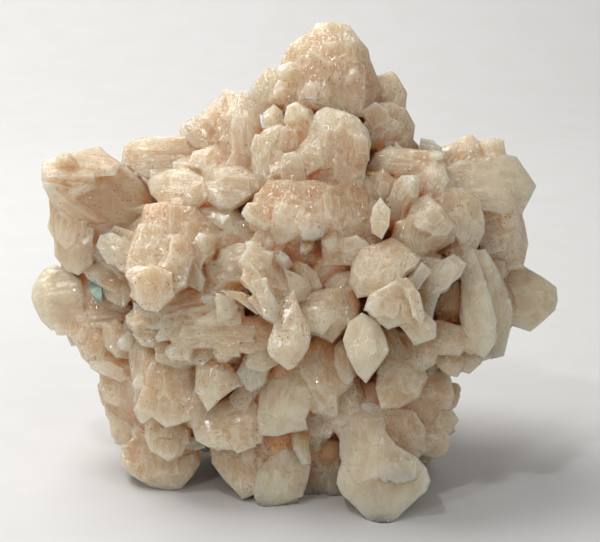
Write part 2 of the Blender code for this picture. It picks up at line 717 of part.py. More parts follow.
def surface_spots(spacing):
    """Places all over the outside of the mass, about this far apart, with the way out there."""
    balls = [(seen(*place), radius) for place, radius in lumps()]
    for centre, radius in balls:
        count = round(4 * math.pi * radius * radius / spacing / spacing)
        for direction in spread_directions(count):
            spot = centre + direction * radius
            inside = sum((spot - other).length < reach * COVERED_SHARE for other, reach in balls)
            if inside == 0 and spot.z > LOWEST_SPOT:
                yield spot, direction


def standing_crystal(spot, outward, sway_by, length, wide, rng):
    """A crystal that stands on a place of the mass and leans at random."""
    sway = Vector((rng.uniform(-1, 1), rng.uniform(-1, 1), rng.uniform(*SWAY_UP)))
    along = (outward + sway * sway_by).normalized()
    turn = rng.uniform(0, math.pi)
    return {
        "tip": spot + along * length * (1 - STANDING_SUNK),
        "root": spot - along * length * STANDING_SUNK,
        "wide": wide,
        "thick": wide * THICK_SHARE,
        "facing": Matrix.Rotation(turn, 3, along) @ (outward + FACING_BIAS),
        "blunt": rng.uniform(*STANDING_BLUNT),
    }


def blade_axes(entry):
    """Length of a standing crystal, and its axes at the root, in the middle of its thickness."""
    along = entry["tip"] - entry["root"]
    length = along.length
    along.normalize()
    facing = entry["facing"] - along * entry["facing"].dot(along)
    return length, axes(entry["root"], along, facing.normalized())


def grown(entry, rng):
    """A standing crystal with its outline, root at the bottom."""
    length, place = blade_axes(entry)
    half = entry["wide"] / 2
    lean = rng.uniform(*LEAN_SPREAD) * half
    blunt = half * entry["blunt"]
    left_shoulder = SHOULDER_SHARE + rng.uniform(*SHOULDER_SPREAD)
    right_shoulder = SHOULDER_SHARE + rng.uniform(*SHOULDER_SPREAD)
    entry["outline"] = [
        (-half * ROOT_SHARE, 0.0),
        (half * ROOT_SHARE, 0.0),
        (half, length * right_shoulder),
        (blunt + lean, length),
        (-blunt + lean, length),
        (-half, length * left_shoulder),
    ]
    entry["place"] = place @ Matrix.Translation((0.0, -entry["thick"] / 2, 0.0))
    entry["eye"] = None
    return entry


def stays_in(entry):
    """Whether the mass hides a crystal's tip and its shoulders from the viewer."""
    length, place = blade_axes(entry)
    half = entry["wide"] / 2
    places = [entry["tip"]]
    for side in (-half, half):
        places.append(place @ Vector((side, 0, length * SHOULDER_SHARE)))
    return all(behind_mass(spot) for spot in places)


def draw_in(entry):
    """Turn a crystal away from the viewer, a little at a time, until the mass hides it."""
    length = (entry["tip"] - entry["root"]).length
    for attempt in range(DRAW_IN_TRIES):
        if stays_in(entry):
            return
        along = entry["tip"] - OUT_OF_VIEW * DRAW_IN_STEP - entry["root"]
        length *= DRAW_IN_SHARE
        entry["tip"] = entry["root"] + along.normalized() * length


def hidden_side(rng):
    """Crystals of the back, the sides and the underside."""
    found = []
    for spot, outward in surface_spots(BACK_SPACING):
        if outward.dot(OUT_OF_VIEW) > BACK_FACING:
            continue
        length = rng.uniform(*BACK_LENGTH)
        wide = rng.uniform(*BACK_WIDE)
        entry = standing_crystal(spot, outward, BACK_SWAY, length, wide, rng)
        draw_in(entry)
        found.append(grown(entry, rng))
    return found


def over_listed(place, listed):
    """Whether a place is seen in front of a listed crystal, or behind it."""
    across, up = as_seen(place)
    for entry in listed:
        crossings = 0
        corners = entry["corners"]
        for (x0, z0), (x1, z1) in zip(corners, corners[1:] + corners[:1]):
            if (z0 > up) != (z1 > up):
                crossings += across < x0 + (up - z0) / (z1 - z0) * (x1 - x0)
        if crossings % 2:
            return True
    return False


def small_front(listed, rng):
    """Small crystals that fill the face between the listed ones."""
    found = []
    for spot, outward in surface_spots(FACE_SPACING):
        near_green = (spot - seen(*GREEN_TIP)).length < GREEN_CLEAR
        if outward.dot(OUT_OF_VIEW) < FACE_FACING or near_green:
            continue
        length = rng.uniform(*FACE_LENGTH)
        wide = rng.uniform(*FACE_WIDE)
        entry = standing_crystal(spot, outward, FACE_SWAY, length, wide, rng)
        draw_in(entry)
        if not over_listed(entry["tip"], listed):
            found.append(grown(entry, rng))
    return found


def joined(name, meshes):
    """A new object whose mesh holds all the given closed shapes."""
    whole = bmesh.new()
    for part in meshes:
        loose = bpy.data.meshes.new("loose")
        bmesh.ops.recalc_face_normals(part, faces=part.faces)
        bmesh.ops.scale(part, vec=(MM, MM, MM), verts=part.verts)
        part.to_mesh(loose)
        part.free()
        whole.from_mesh(loose)
        bpy.data.meshes.remove(loose)
    mesh = bpy.data.meshes.new(name)
    whole.to_mesh(mesh)
    whole.free()
    thing = bpy.data.objects.new(name, mesh)
    bpy.context.scene.collection.objects.link(thing)
    return thing


def bake_modifiers(thing):
    """Replace an object's mesh by what its modifiers make of it."""
    graph = bpy.context.evaluated_depsgraph_get()
    made = bpy.data.meshes.new_from_object(thing.evaluated_get(graph))
    thing.modifiers.clear()
    thing.data = made


def outer_shell(thing):
    """Keep the largest connected shell, so that no closed hollow is left inside."""
    mesh = bmesh.new()
    mesh.from_mesh(thing.data)
    unseen = set(mesh.verts)
    shells = []
    while unseen:
        stack = [unseen.pop()]
        shell = [stack[0]]
        while stack:
            vert = stack.pop()
            for edge in vert.link_edges:
                other = edge.other_vert(vert)
                if other in unseen:
                    unseen.remove(other)
                    shell.append(other)
                    stack.append(other)
        shells.append(shell)
    shells.sort(key=len)
    for shell in shells[:-1]:
        bmesh.ops.delete(mesh, geom=shell, context="VERTS")
    bmesh.ops.triangulate(mesh, faces=mesh.faces)
    mesh.to_mesh(thing.data)
    mesh.free()


def cut_away(thing, cutter, solver="EXACT"):
    """Take a cutter's shape out of an object, and leave the cutter hidden."""
    cutter.hide_render = True
    cutter.display_type = "WIRE"
    cut = thing.modifiers.new("cut", "BOOLEAN")
    cut.operation = "DIFFERENCE"
    cut.solver = solver
    cut.object = cutter
    bake_modifiers(thing)


def ground_cutter():
    """A block under the level that the cluster stands on."""
    block = bmesh.new()
    bmesh.ops.create_cube(block, size=1.0)
    bmesh.ops.scale(block, vec=GROUND_BLOCK, verts=block.verts)
    bmesh.ops.translate(block, vec=(0, 0, -GROUND_BLOCK[2] / 2), verts=block.verts)
    return joined("ground_cutter", [block])


def green_shape(grown):
    """The small green crystal, a stubby four-sided point, grown outwards by a margin."""
    root = seen(*GREEN_ROOT)
    tip = seen(*GREEN_TIP)
    along = (tip - root).normalized()
    half = GREEN_WIDE / 2 + grown
    length = (tip - root).length
    shape = bmesh.new()
    sideways = along.orthogonal().normalized()
    upright = along.cross(sideways)
    rings = []
    for share, size in GREEN_LEVELS:
        ring = []
        level = root + along * (length * share - (grown if share == 0.0 else 0.0))
        for corner in range(4):
            angle = math.pi / 2 * corner + GREEN_SPIN
            spread = sideways * math.cos(angle) + upright * math.sin(angle) * GREEN_FLATNESS
            ring.append(shape.verts.new(level + spread * half * size))
        rings.append(ring)
    top = shape.verts.new(root + along * (length + grown * GREEN_TIP_GAP))
    shape.faces.new(rings[0])
    for corner in range(4):
        after = (corner + 1) % 4
        shape.faces.new((rings[0][corner], rings[0][after], rings[1][after], rings[1][corner]))
        shape.faces.new((rings[1][corner], rings[1][after], top))
    return shape


def finish(name, colour, roughness):
    """A finish for one kind of mineral."""
    material = bpy.data.materials.new(name)
    material.use_nodes = True
    shader = material.node_tree.nodes["Principled BSDF"]
    shader.inputs["Base Color"].default_value = colour
    shader.inputs["Roughness"].default_value = roughness
    shader.inputs["Metallic"].default_value = 0.0
    return material


def build_cluster():
    """All crystals and the mass grown together, cut flat where the cluster stands."""
    rng = random.Random(SEED)
    listed = crown() + upper_left() + left_side() + centre() + bottom() + right_side()
    entries = listed + hidden_side(rng) + small_front(listed, rng)
    meshes = [crystal_mesh(entry) for entry in entries]
    for place, radius in lumps():
        meshes.append(ball_mesh(seen(*place), radius, rng))
    cluster = joined("stilbite_cluster", meshes)
    union = cluster.modifiers.new("grown together", "BOOLEAN")
    union.operation = "UNION"
    union.solver = "EXACT"
    union.use_self = True
    inner = joined("inner_ball", [ball_mesh(seen(*INNER_PLACE), INNER_RADIUS, rng)])
    inner.hide_render = True
    inner.display_type = "WIRE"
    union.object = inner
    bake_modifiers(cluster)
    cut_away(cluster, ground_cutter(), "MANIFOLD")
    cut_away(cluster, joined("green_pocket_cutter", [green_shape(GREEN_GAP)]))
    outer_shell(cluster)
    cluster.data.materials.clear()
    cluster.data.materials.append(finish("stilbite cream", CREAM, CREAM_ROUGHNESS))


def build_green_crystal():
    crystal = joined("green_crystal", [green_shape(0.0)])
    crystal.data.materials.append(finish("green crystal", GREEN, GREEN_ROUGHNESS))


def main():
    for thing in list(bpy.data.objects):
        bpy.data.objects.remove(thing)
    build_cluster()
    build_green_crystal()


main()
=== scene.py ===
"""Grows a cluster of stilbite crystals, with one small green crystal in a hollow.

Lengths of the crystals are millimetres and are turned to metres when a mesh is made. +Z is
up, +X is to the right, and the face of the cluster looks towards -Y.
"""

import json
import math
import random
from collections import namedtuple

import bmesh
import bpy
import numpy as np
from mathutils import Matrix, Vector, noise
from mathutils.bvhtree import BVHTree

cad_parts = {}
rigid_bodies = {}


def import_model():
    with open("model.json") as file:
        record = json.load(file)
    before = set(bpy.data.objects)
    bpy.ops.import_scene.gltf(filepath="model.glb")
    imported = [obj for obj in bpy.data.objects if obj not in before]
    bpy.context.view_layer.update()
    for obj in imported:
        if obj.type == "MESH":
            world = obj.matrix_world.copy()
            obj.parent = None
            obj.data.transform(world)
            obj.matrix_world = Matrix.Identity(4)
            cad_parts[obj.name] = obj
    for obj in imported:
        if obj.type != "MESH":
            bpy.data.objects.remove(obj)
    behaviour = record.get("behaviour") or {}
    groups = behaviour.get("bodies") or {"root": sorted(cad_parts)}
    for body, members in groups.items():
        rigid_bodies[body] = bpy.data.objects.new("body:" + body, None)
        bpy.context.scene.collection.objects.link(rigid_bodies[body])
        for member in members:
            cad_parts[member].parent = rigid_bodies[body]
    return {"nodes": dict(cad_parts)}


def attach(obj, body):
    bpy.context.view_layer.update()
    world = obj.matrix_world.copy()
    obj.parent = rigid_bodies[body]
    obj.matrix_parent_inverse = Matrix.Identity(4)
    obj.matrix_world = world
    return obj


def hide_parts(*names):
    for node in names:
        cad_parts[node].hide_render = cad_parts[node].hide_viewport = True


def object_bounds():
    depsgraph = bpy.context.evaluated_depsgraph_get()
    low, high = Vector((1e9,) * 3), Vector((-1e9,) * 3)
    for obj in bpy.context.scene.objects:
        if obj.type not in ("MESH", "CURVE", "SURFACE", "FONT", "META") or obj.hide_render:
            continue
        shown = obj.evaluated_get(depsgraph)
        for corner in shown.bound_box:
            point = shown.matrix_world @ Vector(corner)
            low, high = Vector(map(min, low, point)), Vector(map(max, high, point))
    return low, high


bl_info = {
    "name": "Stilbite Cluster",
    "version": (1, 0, 0),
    "blender": (4, 5, 0),
    "location": "View3D > Sidebar > Crystals",
    "description": "Grows a cluster of bladed stilbite crystals on a pale studio floor",
    "category": "Add Mesh",
}

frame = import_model()
SOLID_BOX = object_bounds()

MM = 0.001

# The first seed, and what is added to it for each kind of crystal.
SEED = 11
DRUSE_SEED = 1
GAPS_SEED = 2
MATES_SEED = 200
SPREAD_SEED = 500
SEAMS_SEED = 900

# The eye that the lists are measured by: how far it looks down, how far it is from the middle
# of the cluster, and where that middle is.
LOOK_DOWN = math.radians(15.0)
EYE_DISTANCE = 500.0
MIDDLE = Vector((0.0, 0.0, 52.5))
MIDDLE_UP = 64.25

# The slanting rim of a crystal's front, as a share of its size, and at most so many millimetres.
# Its levels are depth and how far each is drawn in, as shares of the rim.
RIM_SHARE = 0.05
RIM_MOST = 0.5
RIM_LEVELS = ((0.0, 1.0), (0.8, 0.0))

# Habit of a crystal that is spread by a loop, as shares of its width or its length, and its
# colour and striation unless it has its own.
THICK_SHARE = 0.46
ROOT_SHARE = 0.84
SHOULDER_SHARE = 0.74
SHOULDER_SPREAD = (-0.10, 0.08)
LEAN_SPREAD = (-0.3, 0.3)
BLUNT_SHARE = (0.1, 0.45)
SUNK_SHARE = 0.4
PLAIN_WARM = 0.3
PLAIN_RIBS = 0.4

# The green crystal: its size, how wide it is at two levels, and the room left around it.
GREEN_TIP = (-49.6, 56.4, 5.5)
GREEN_ROOT = (-51.6, 61.6, 0.5)
GREEN_WIDE = 4.6
GREEN_LEVELS = ((0.0, 0.7), (0.55, 1.0))
GREEN_SIDES = 4
GREEN_SPIN = 0.4
GREEN_FLATNESS = 0.8
GREEN_GAP = 0.35
GREEN_TIP_GAP = 1.6
GREEN_CLEAR = 11.0

# The crystals that are spread by a loop: large ones on the back and the sides, and small ones
# on the face. A spot belongs to the face or the back by how far its way out faces the viewer.
BACK_SPACING = 19.0
BACK_FACING = -0.05
BACK_LENGTH = (17, 26)
BACK_WIDE = (13, 19)
BACK_SWAY = 0.6
FACE_SPACING = 15.0
FACE_FACING = 0.4
FACE_LENGTH = (9, 14)
FACE_WIDE = (6, 9)
FACE_SWAY = 0.8
STANDING_SWAY = ((-1, 1), (-1, 1), (-0.7, 0.8))
FACING_BIAS = Vector((0.3, 0.2, 0.5))
LOWEST_SPOT = 3.0
COVERED_SHARE = 0.99
DRAW_IN_TRIES = 8
DRAW_IN_STEP = 3.0
DRAW_IN_SHARE = 0.96
HIDDEN_MARGIN = 1.0
GOLDEN_ANGLE = math.pi * (3.0 - math.sqrt(5.0))

# The balls of the mass, which are a little uneven, and the block that cuts its underside flat.
BALL_SPREAD = (0.94, 1.05)
BALL_WARM = 0.5
GROUND_BLOCK = (300, 300, 60)

# The roof of a crystal's front: where its crest and its tip facet begin, and how steep they are.
CREST_SHARE = (0.3, 0.7)
SIDE_SLOPE = (4.0, 20.0)
TIP_SHARE = (0.6, 0.8)
TIP_SLOPE = (12.0, 38.0)
ROOF_MOST = 0.45
CREST_END = 0.1

# Teeth along a crystal's edge: how far apart, how far they shift, and how deep they are.
EDGE_PIECE = 4.0
EDGE_SHIFT = 0.3
EDGE_DIP = 0.12
EDGE_AWAY = 0.1

# Smaller crystals on a large one's front: how large it has to be for one and for two of them,
# then their size as a share of it, how far they stand out, their tilt in degrees and thickness.
MATE_FROM = 11.0
SECOND_MATE_FROM = 16.5
MATE_ANCHOR = 0.96
MATE_SHARE = (0.35, 0.72)
MATE_RISE = (0.2, 0.9)
MATE_TILT = 6.0
MATE_THICK = 3.0

# Ribs along a crystal's front: how many, where, how long and wide, and how they are shaped.
RIBS_FROM = 6.0
RIBS_FEWEST = 4
RIB_WIDE = 1.6
RIB_REACH = 0.84
RIB_SHIFT = (0.2, 0.8)
RIB_LOW = (0.08, 0.5)
RIB_END = (0.7, 1.6)
RIB_SHORTER = (0.0, 0.3, 0.6)
RIB_PAST_ROOF = 1.5
RIB_SHORTEST = 2.5
RIB_SHARE = (0.5, 2.2)
RIB_SHOULDER = (0.4, 1.6)
RIB_SHOULDER_MOST = 0.4
RIB_LEAN = 0.6
RIB_RISE = (0.05, 0.35)
RIB_RIM = 0.2
RIB_DEPTH = 2.0
RIB_SWING = 2.0
RIB_TONE = 0.5

# Small crystals that come out from under the edges of the large ones.
SEAM_OFTEN = (0.6, 1.4)
SEAM_LENGTH = (4.0, 9.0)
SEAM_WIDE = (2.5, 6.0)
SEAM_THICK = 0.6
SEAM_BEHIND = (1.8, 5.0)
SEAM_SUNK = 0.55
SEAM_ALONG = 1.5
SEAM_SWAY = ((-0.7, 0.7), (-0.5, 0.3), (-0.4, 0.4))
SEAM_TURN = 0.8
SEAM_WARMER = (-0.2, 0.3)

# Crystals that fill the gaps between the large ones, a little behind them.
GAP_STEP = 4.0
GAP_SHIFT = 0.4
GAP_BEHIND = (0.6, 2.2)
GAP_LENGTH = (8.0, 13.0)
GAP_WIDE = (5.0, 9.0)
GAP_THICK = 6.0
GAP_SUNK = 0.5
GAP_TURN = 0.9
GAP_TILT = 0.45
GAP_WARM = (0.1, 0.6)
FACE_SIDES = (-70, 70)
FACE_HEIGHTS = (4, 128)

# The small crystals that lie on the mass like shingles and point away from its core. The mass
# is a little smaller here, to make room for them.
MASS_SMALLER = 0.4
MASS_CORE = (0.0, 62.0)
DRUSE_LENGTH = (8.0, 14.0)
DRUSE_WIDE = (4.5, 8.0)
DRUSE_LIFT = (0.25, 0.6)
DRUSE_SWAY = 0.4
DRUSE_SWAYS = ((-1, 1), (-1, 1), (-1, 1))
DRUSE_TURN = 0.5
DRUSE_WARM = (0.2, 0.7)

# The mesh: how much coarser it is where it faces away, the fewest vertices of a shell that
# stays, the inward creases that are evened out, and waves as scale and height.
BEHIND_FACING = -0.2
BEHIND_COARSER = 1.9
SPLIT_ROUNDS = 4
SMALLEST_SHELL = 400
CREASE_BEND = math.radians(-30)
CREASE_SHARE = 0.45
WAVES = ((0.17, 1.6), (0.45, 0.6))
GROUND_LEVEL = 0.05
SMOOTH_BELOW = math.radians(9)

# What the finish reads from the mesh: how sharp its edges are, which it turns into painted
# highlights, how much near crystals block the view from each place, which it turns into painted
# shade and glow in the hollows, and how far one crystal's patterns are shifted from the next one's.
EDGE_BEND = math.radians(60)
HOLLOW_ROUNDS = 24
HOLLOW_EVERY = 3
RAY_SPREAD = 0.97
RAY_START = 0.05
FAR_BLOCKS_LESS = 0.6
NEIGHBOUR_SHARE = 0.5
LEAST_KNOWN = 1e-9
PATTERN_SHIFT = 7.3

# Patterns of the finish: how fine each is across, through and along a crystal.
TERRACES = (0.3, 0.3, 0.07)
STRIPES = (1.1, 1.1, 0.05)
CLOUDS = (0.13, 0.13, 0.11)
VEILS = (0.35, 0.35, 0.16)
FROST = (1.1, 1.1, 0.8)
FIBRES = (2.7, 2.7, 0.6)
FIBRE_PATCHES = (0.25, 0.25, 0.16)
SPECKS = (1, 1, 0.6)
SPECK_PATCHES = (0.17, 0.17, 0.17)
DUST = (2.2, 2.2, 1.6)
LONG_FACETS = (0.8, 0.8, 0.22)
SMALL_FACETS = (1.9, 1.9, 1.1)
SUGAR = (2.9, 2.9, 2.2)
SUGAR_PATCHES = (0.21, 0.21, 0.15)
GLASS_VEILS = (0.3, 0.3, 0.2)
GLASS_PATCHES = (0.12, 0.12, 0.08)
TERRACE_NUMBER = 22
SPECK_SCALE = 1.2
GREEN_CLOUDS = 420.0
FLOOR_GRAIN = 60.0

# Depth of the relief in metres, and refraction.
RELIEF_DEPTH = 0.0008
GREEN_RELIEF_DEPTH = 0.0002
REFRACTION = 1.5
GREEN_REFRACTION = 1.54

# The stage in metres: a floor that sweeps up into a wall, the lights and the camera. A light
# has its name, place, size and colour, and how far behind the middle it is aimed.
FLOOR_FRONT = -1.2
FLOOR_HALF = 1.6
SWEEP_FROM = 0.45
SWEEP_RADIUS = 0.35
SWEEP_STEPS = 12
WALL_TOP = 1.6
LIGHTS = (
    ("window light", (-0.30, 0.28, 0.60), (0.6, 0.5), (1.0, 0.98, 0.95), 0.25),
    ("glint light", (-0.22, -0.30, 0.62), (0.045, 0.045), (1.0, 1.0, 1.0), 0.0),
    ("glint light", (-0.36, -0.56, 0.24), (0.06, 0.06), (1.0, 1.0, 1.0), 0.0),
    ("front light", (0.32, -0.52, 0.40), (0.5, 0.4), (1.0, 0.99, 0.97), 0.0),
)
ROOM_COLOUR = (1.0, 1.0, 1.0, 1.0)
LENS = 120.0
SENSOR = 36.0
NEAREST_SEEN = 0.01

RIGHT_OF_VIEW = Vector((1.0, 0.0, 0.0))
UP_OF_VIEW = Vector((0.0, math.sin(LOOK_DOWN), math.cos(LOOK_DOWN)))
OUT_OF_VIEW = Vector((0.0, -math.cos(LOOK_DOWN), math.sin(LOOK_DOWN)))
EYE = MIDDLE + OUT_OF_VIEW * EYE_DISTANCE

# What the finish needs to know about a plate: where along its own axis it begins, its length,
# how warm its colour is, its lightness, how striated and how glassy it is.
Facts = namedtuple("Facts", ("low", "length", "warm", "tone", "ribs", "clear"))


def seen(across, up, out):
    """The place that is seen this far across and up the face, and stands this far out of it."""
    nearness = (EYE_DISTANCE - out) / EYE_DISTANCE
    flat = RIGHT_OF_VIEW * across + UP_OF_VIEW * (up - MIDDLE_UP)
    return MIDDLE + flat * nearness + OUT_OF_VIEW * out


def as_seen(place):
    """How far across and up the face a place is seen."""
    away = place - MIDDLE
    nearness = 1.0 - away.dot(OUT_OF_VIEW) / EYE_DISTANCE
    across = away.dot(RIGHT_OF_VIEW) / nearness
    return across, away.dot(UP_OF_VIEW) / nearness + MIDDLE_UP


def axes(origin, along, facing):
    """A matrix with a crystal's width on X, its thickness inwards on Y and its tip on +Z."""
    basis = Matrix((along.cross(facing), -facing, along)).transposed()
    return Matrix.Translation(origin) @ basis.to_4x4()


def middle_of(outline):
    """The mean of an outline's corners."""
    across, along = zip(*outline)
    return sum(across) / len(outline), sum(along) / len(outline)


def sides_of(outline):
    """The sides of an outline, each with its two ends."""
    return zip(outline, outline[1:] + outline[:1])


def size_of(outline):
    """How wide an outline is across the crystal, and how long along it."""
    across, along = zip(*outline)
    return max(across) - min(across), max(along) - min(along)


def tablet(corners, out, face, way, thick, warm=0.2, clear=0.0, ribs=0.4):
    """One listed crystal, by the corners of its front face as (across, up).

    out is how far its middle stands out of the cluster's face. face is how many degrees its
    front is turned to the right and up. way is where its tip points, in degrees from up
    through right. warm goes from 0, grey, to 1, honey. clear is the share of it that is
    glassy, and ribs is how striated it is.
    """
    across, up = middle_of(corners)
    right, high = (math.tan(math.radians(angle)) for angle in face)
    facing = (OUT_OF_VIEW + RIGHT_OF_VIEW * right + UP_OF_VIEW * high).normalized()
    angle = math.radians(way)
    along = UP_OF_VIEW * math.cos(angle) + RIGHT_OF_VIEW * math.sin(angle)
    along = (along - facing * along.dot(facing)).normalized()
    place = axes(seen(across, up, out), along, facing)
    eye = place.inverted() @ EYE
    outline = []
    for corner in corners:
        ray = place.inverted() @ seen(*corner, 0.0) - eye
        hit = eye - ray * (eye.y / ray.y)
        outline.append((hit.x, hit.z))
    return {
        "place": place, "outline": outline, "eye": eye, "thick": thick, "corners": corners,
        "warm": warm, "clear": clear, "ribs": ribs,
    }


def crown():
    """The large upright tablets at the top and the broad one in front of them."""
    return [
        tablet(
            [(5, 125.6), (0, 123), (-2.6, 121), (-4.5, 117.5), (-6, 112), (-8.6, 106.5),
             (-4, 103.5), (3, 106), (6, 118)],
            2.5, (-30, 8), 12, 9, warm=0.45, ribs=0.5,
        ),
        tablet(
            [(4, 126), (7.5, 126.6), (10.5, 126.2), (12, 118), (12, 108), (10, 103.8), (3, 104.5),
             (-4, 105), (-3, 112), (0, 120)],
            5, (-4, 5), 8, 10, warm=0.5, ribs=0.3,
        ),
        tablet(
            [(9, 126.4), (12.5, 125.6), (14.7, 122.5), (17, 119.6), (17.5, 117.4), (19.2, 113),
             (20.2, 109.5), (17, 102.5), (11, 103), (9, 112)],
            4, (26, 8), 2, 10, warm=0.55, ribs=0.4,
        ),
        tablet(
            [(-5.2, 115.1), (-8.5, 115), (-10, 113.5), (-12.5, 110), (-11, 104), (-7, 102),
             (-3, 106), (-3, 113)],
            -8, (-20, 10), -20, 7, warm=0.1, clear=1.0,
        ),
        tablet(
            [(17, 113), (19.2, 113.1), (23, 114.3), (24, 113.5), (26.8, 108.8), (26.3, 104.5),
             (20, 99), (14, 102)],
            -3, (22, 10), 20, 8, warm=0.45,
        ),
        tablet(
            [(26.3, 105), (28.8, 100.7), (28.5, 98.5), (27.7, 94.4), (22, 93.5), (17, 95),
             (16, 101.5), (19.5, 106.2), (23, 106.5)],
            3, (22, -6), 60, 9, warm=0.8,
        ),
        tablet(
            [(6.5, 105.3), (11, 104.2), (14.5, 102.6), (17, 99.5), (17.8, 96.5), (17, 91.5),
             (15.5, 85), (9, 83), (1, 84), (-0.8, 89), (-2, 93.5), (1.5, 97), (2.2, 101),
             (4.3, 104.2)],
            16, (4, 10), 0, 10, warm=0.5, ribs=0.4,
        ),
        tablet(
            [(-2, 93.5), (1, 96.8), (5, 97.5), (6, 91), (2, 88), (-1, 90)],
            17, (-25, 10), -60, 6, warm=0.35,
        ),
    ]


def upper_left():
    """Tablets between the crown and the left shoulder."""
    return [
        tablet(
            [(-20.4, 107), (-19, 109.8), (-16, 108.9), (-14.5, 104), (-14.5, 96), (-13.5, 90),
             (-18.5, 89.5), (-20, 95), (-21, 102)],
            5, (-25, 12), -8, 8, warm=0.5,
        ),
        tablet(
            [(-15.8, 108.6), (-13, 109.4), (-12.2, 108.3), (-10.4, 105), (-9.3, 99), (-10.5, 92),
             (-13, 89.5), (-16, 91), (-17, 98), (-17, 103)],
            7.5, (12, 8), -4, 8, warm=0.5,
        ),
        tablet(
            [(-19, 109.5), (-20.5, 107.7), (-25, 103.6), (-29.6, 101.1), (-30.2, 99.4),
             (-28.5, 94), (-24, 90), (-17, 90), (-17, 100)],
            1, (-22, 15), -40, 9, warm=0.6, ribs=0.3,
        ),
        tablet(
            [(-28.4, 90.8), (-26.8, 94.2), (-24, 94.9), (-21, 96), (-18.8, 94), (-18, 90),
             (-22, 88.5)],
            7, (-10, 25), -50, 7, warm=0.95,
        ),
        tablet(
            [(-11.7, 96.5), (-9, 99.5), (-5, 101), (-1.2, 99), (-3, 95), (-6, 89.8), (-8, 85.4),
             (-10.2, 82.4), (-11.2, 86.5), (-12.2, 91.5)],
            13.5, (-28, 14), 196, 7, warm=0.1, ribs=0.3,
        ),
        tablet(
            [(-9.3, 103.8), (-6.6, 105.9), (-4.4, 104.2), (-3.4, 100.7), (-6, 99), (-9.5, 100)],
            9, (10, 20), -30, 7, warm=0.4,
        ),
        tablet(
            [(-44.6, 91.3), (-44.2, 95.2), (-41.2, 97.3), (-37, 98), (-32, 97), (-27, 98),
             (-22, 96), (-24, 91), (-32, 88.5), (-40, 88)],
            -3, (-12, 30), -85, 9, warm=0.25, ribs=1.0,
        ),
        tablet(
            [(-38.1, 86.2), (-37, 87.8), (-33, 89.7), (-28, 89.8), (-24, 87.5), (-23, 83),
             (-25.5, 80), (-31, 80), (-35, 81.2), (-37.3, 83.3)],
            9, (-25, 15), -80, 9, warm=0.2,
        ),
        tablet(
            [(-27, 89.2), (-22, 90.2), (-14.5, 90.5), (-11.2, 88.6), (-9.7, 85), (-13, 82.3),
             (-17.5, 79.7), (-22, 80.5), (-25.5, 83)],
            12.5, (-5, 22), -85, 10, warm=0.15,
        ),
        tablet(
            [(-25.8, 80.1), (-20, 80.5), (-14, 78.5), (-13.3, 75.5), (-16.5, 74.1), (-20, 75),
             (-24, 77.3)],
            14, (-8, 28), 110, 8, warm=0.15, ribs=0.6,
        ),
    ]


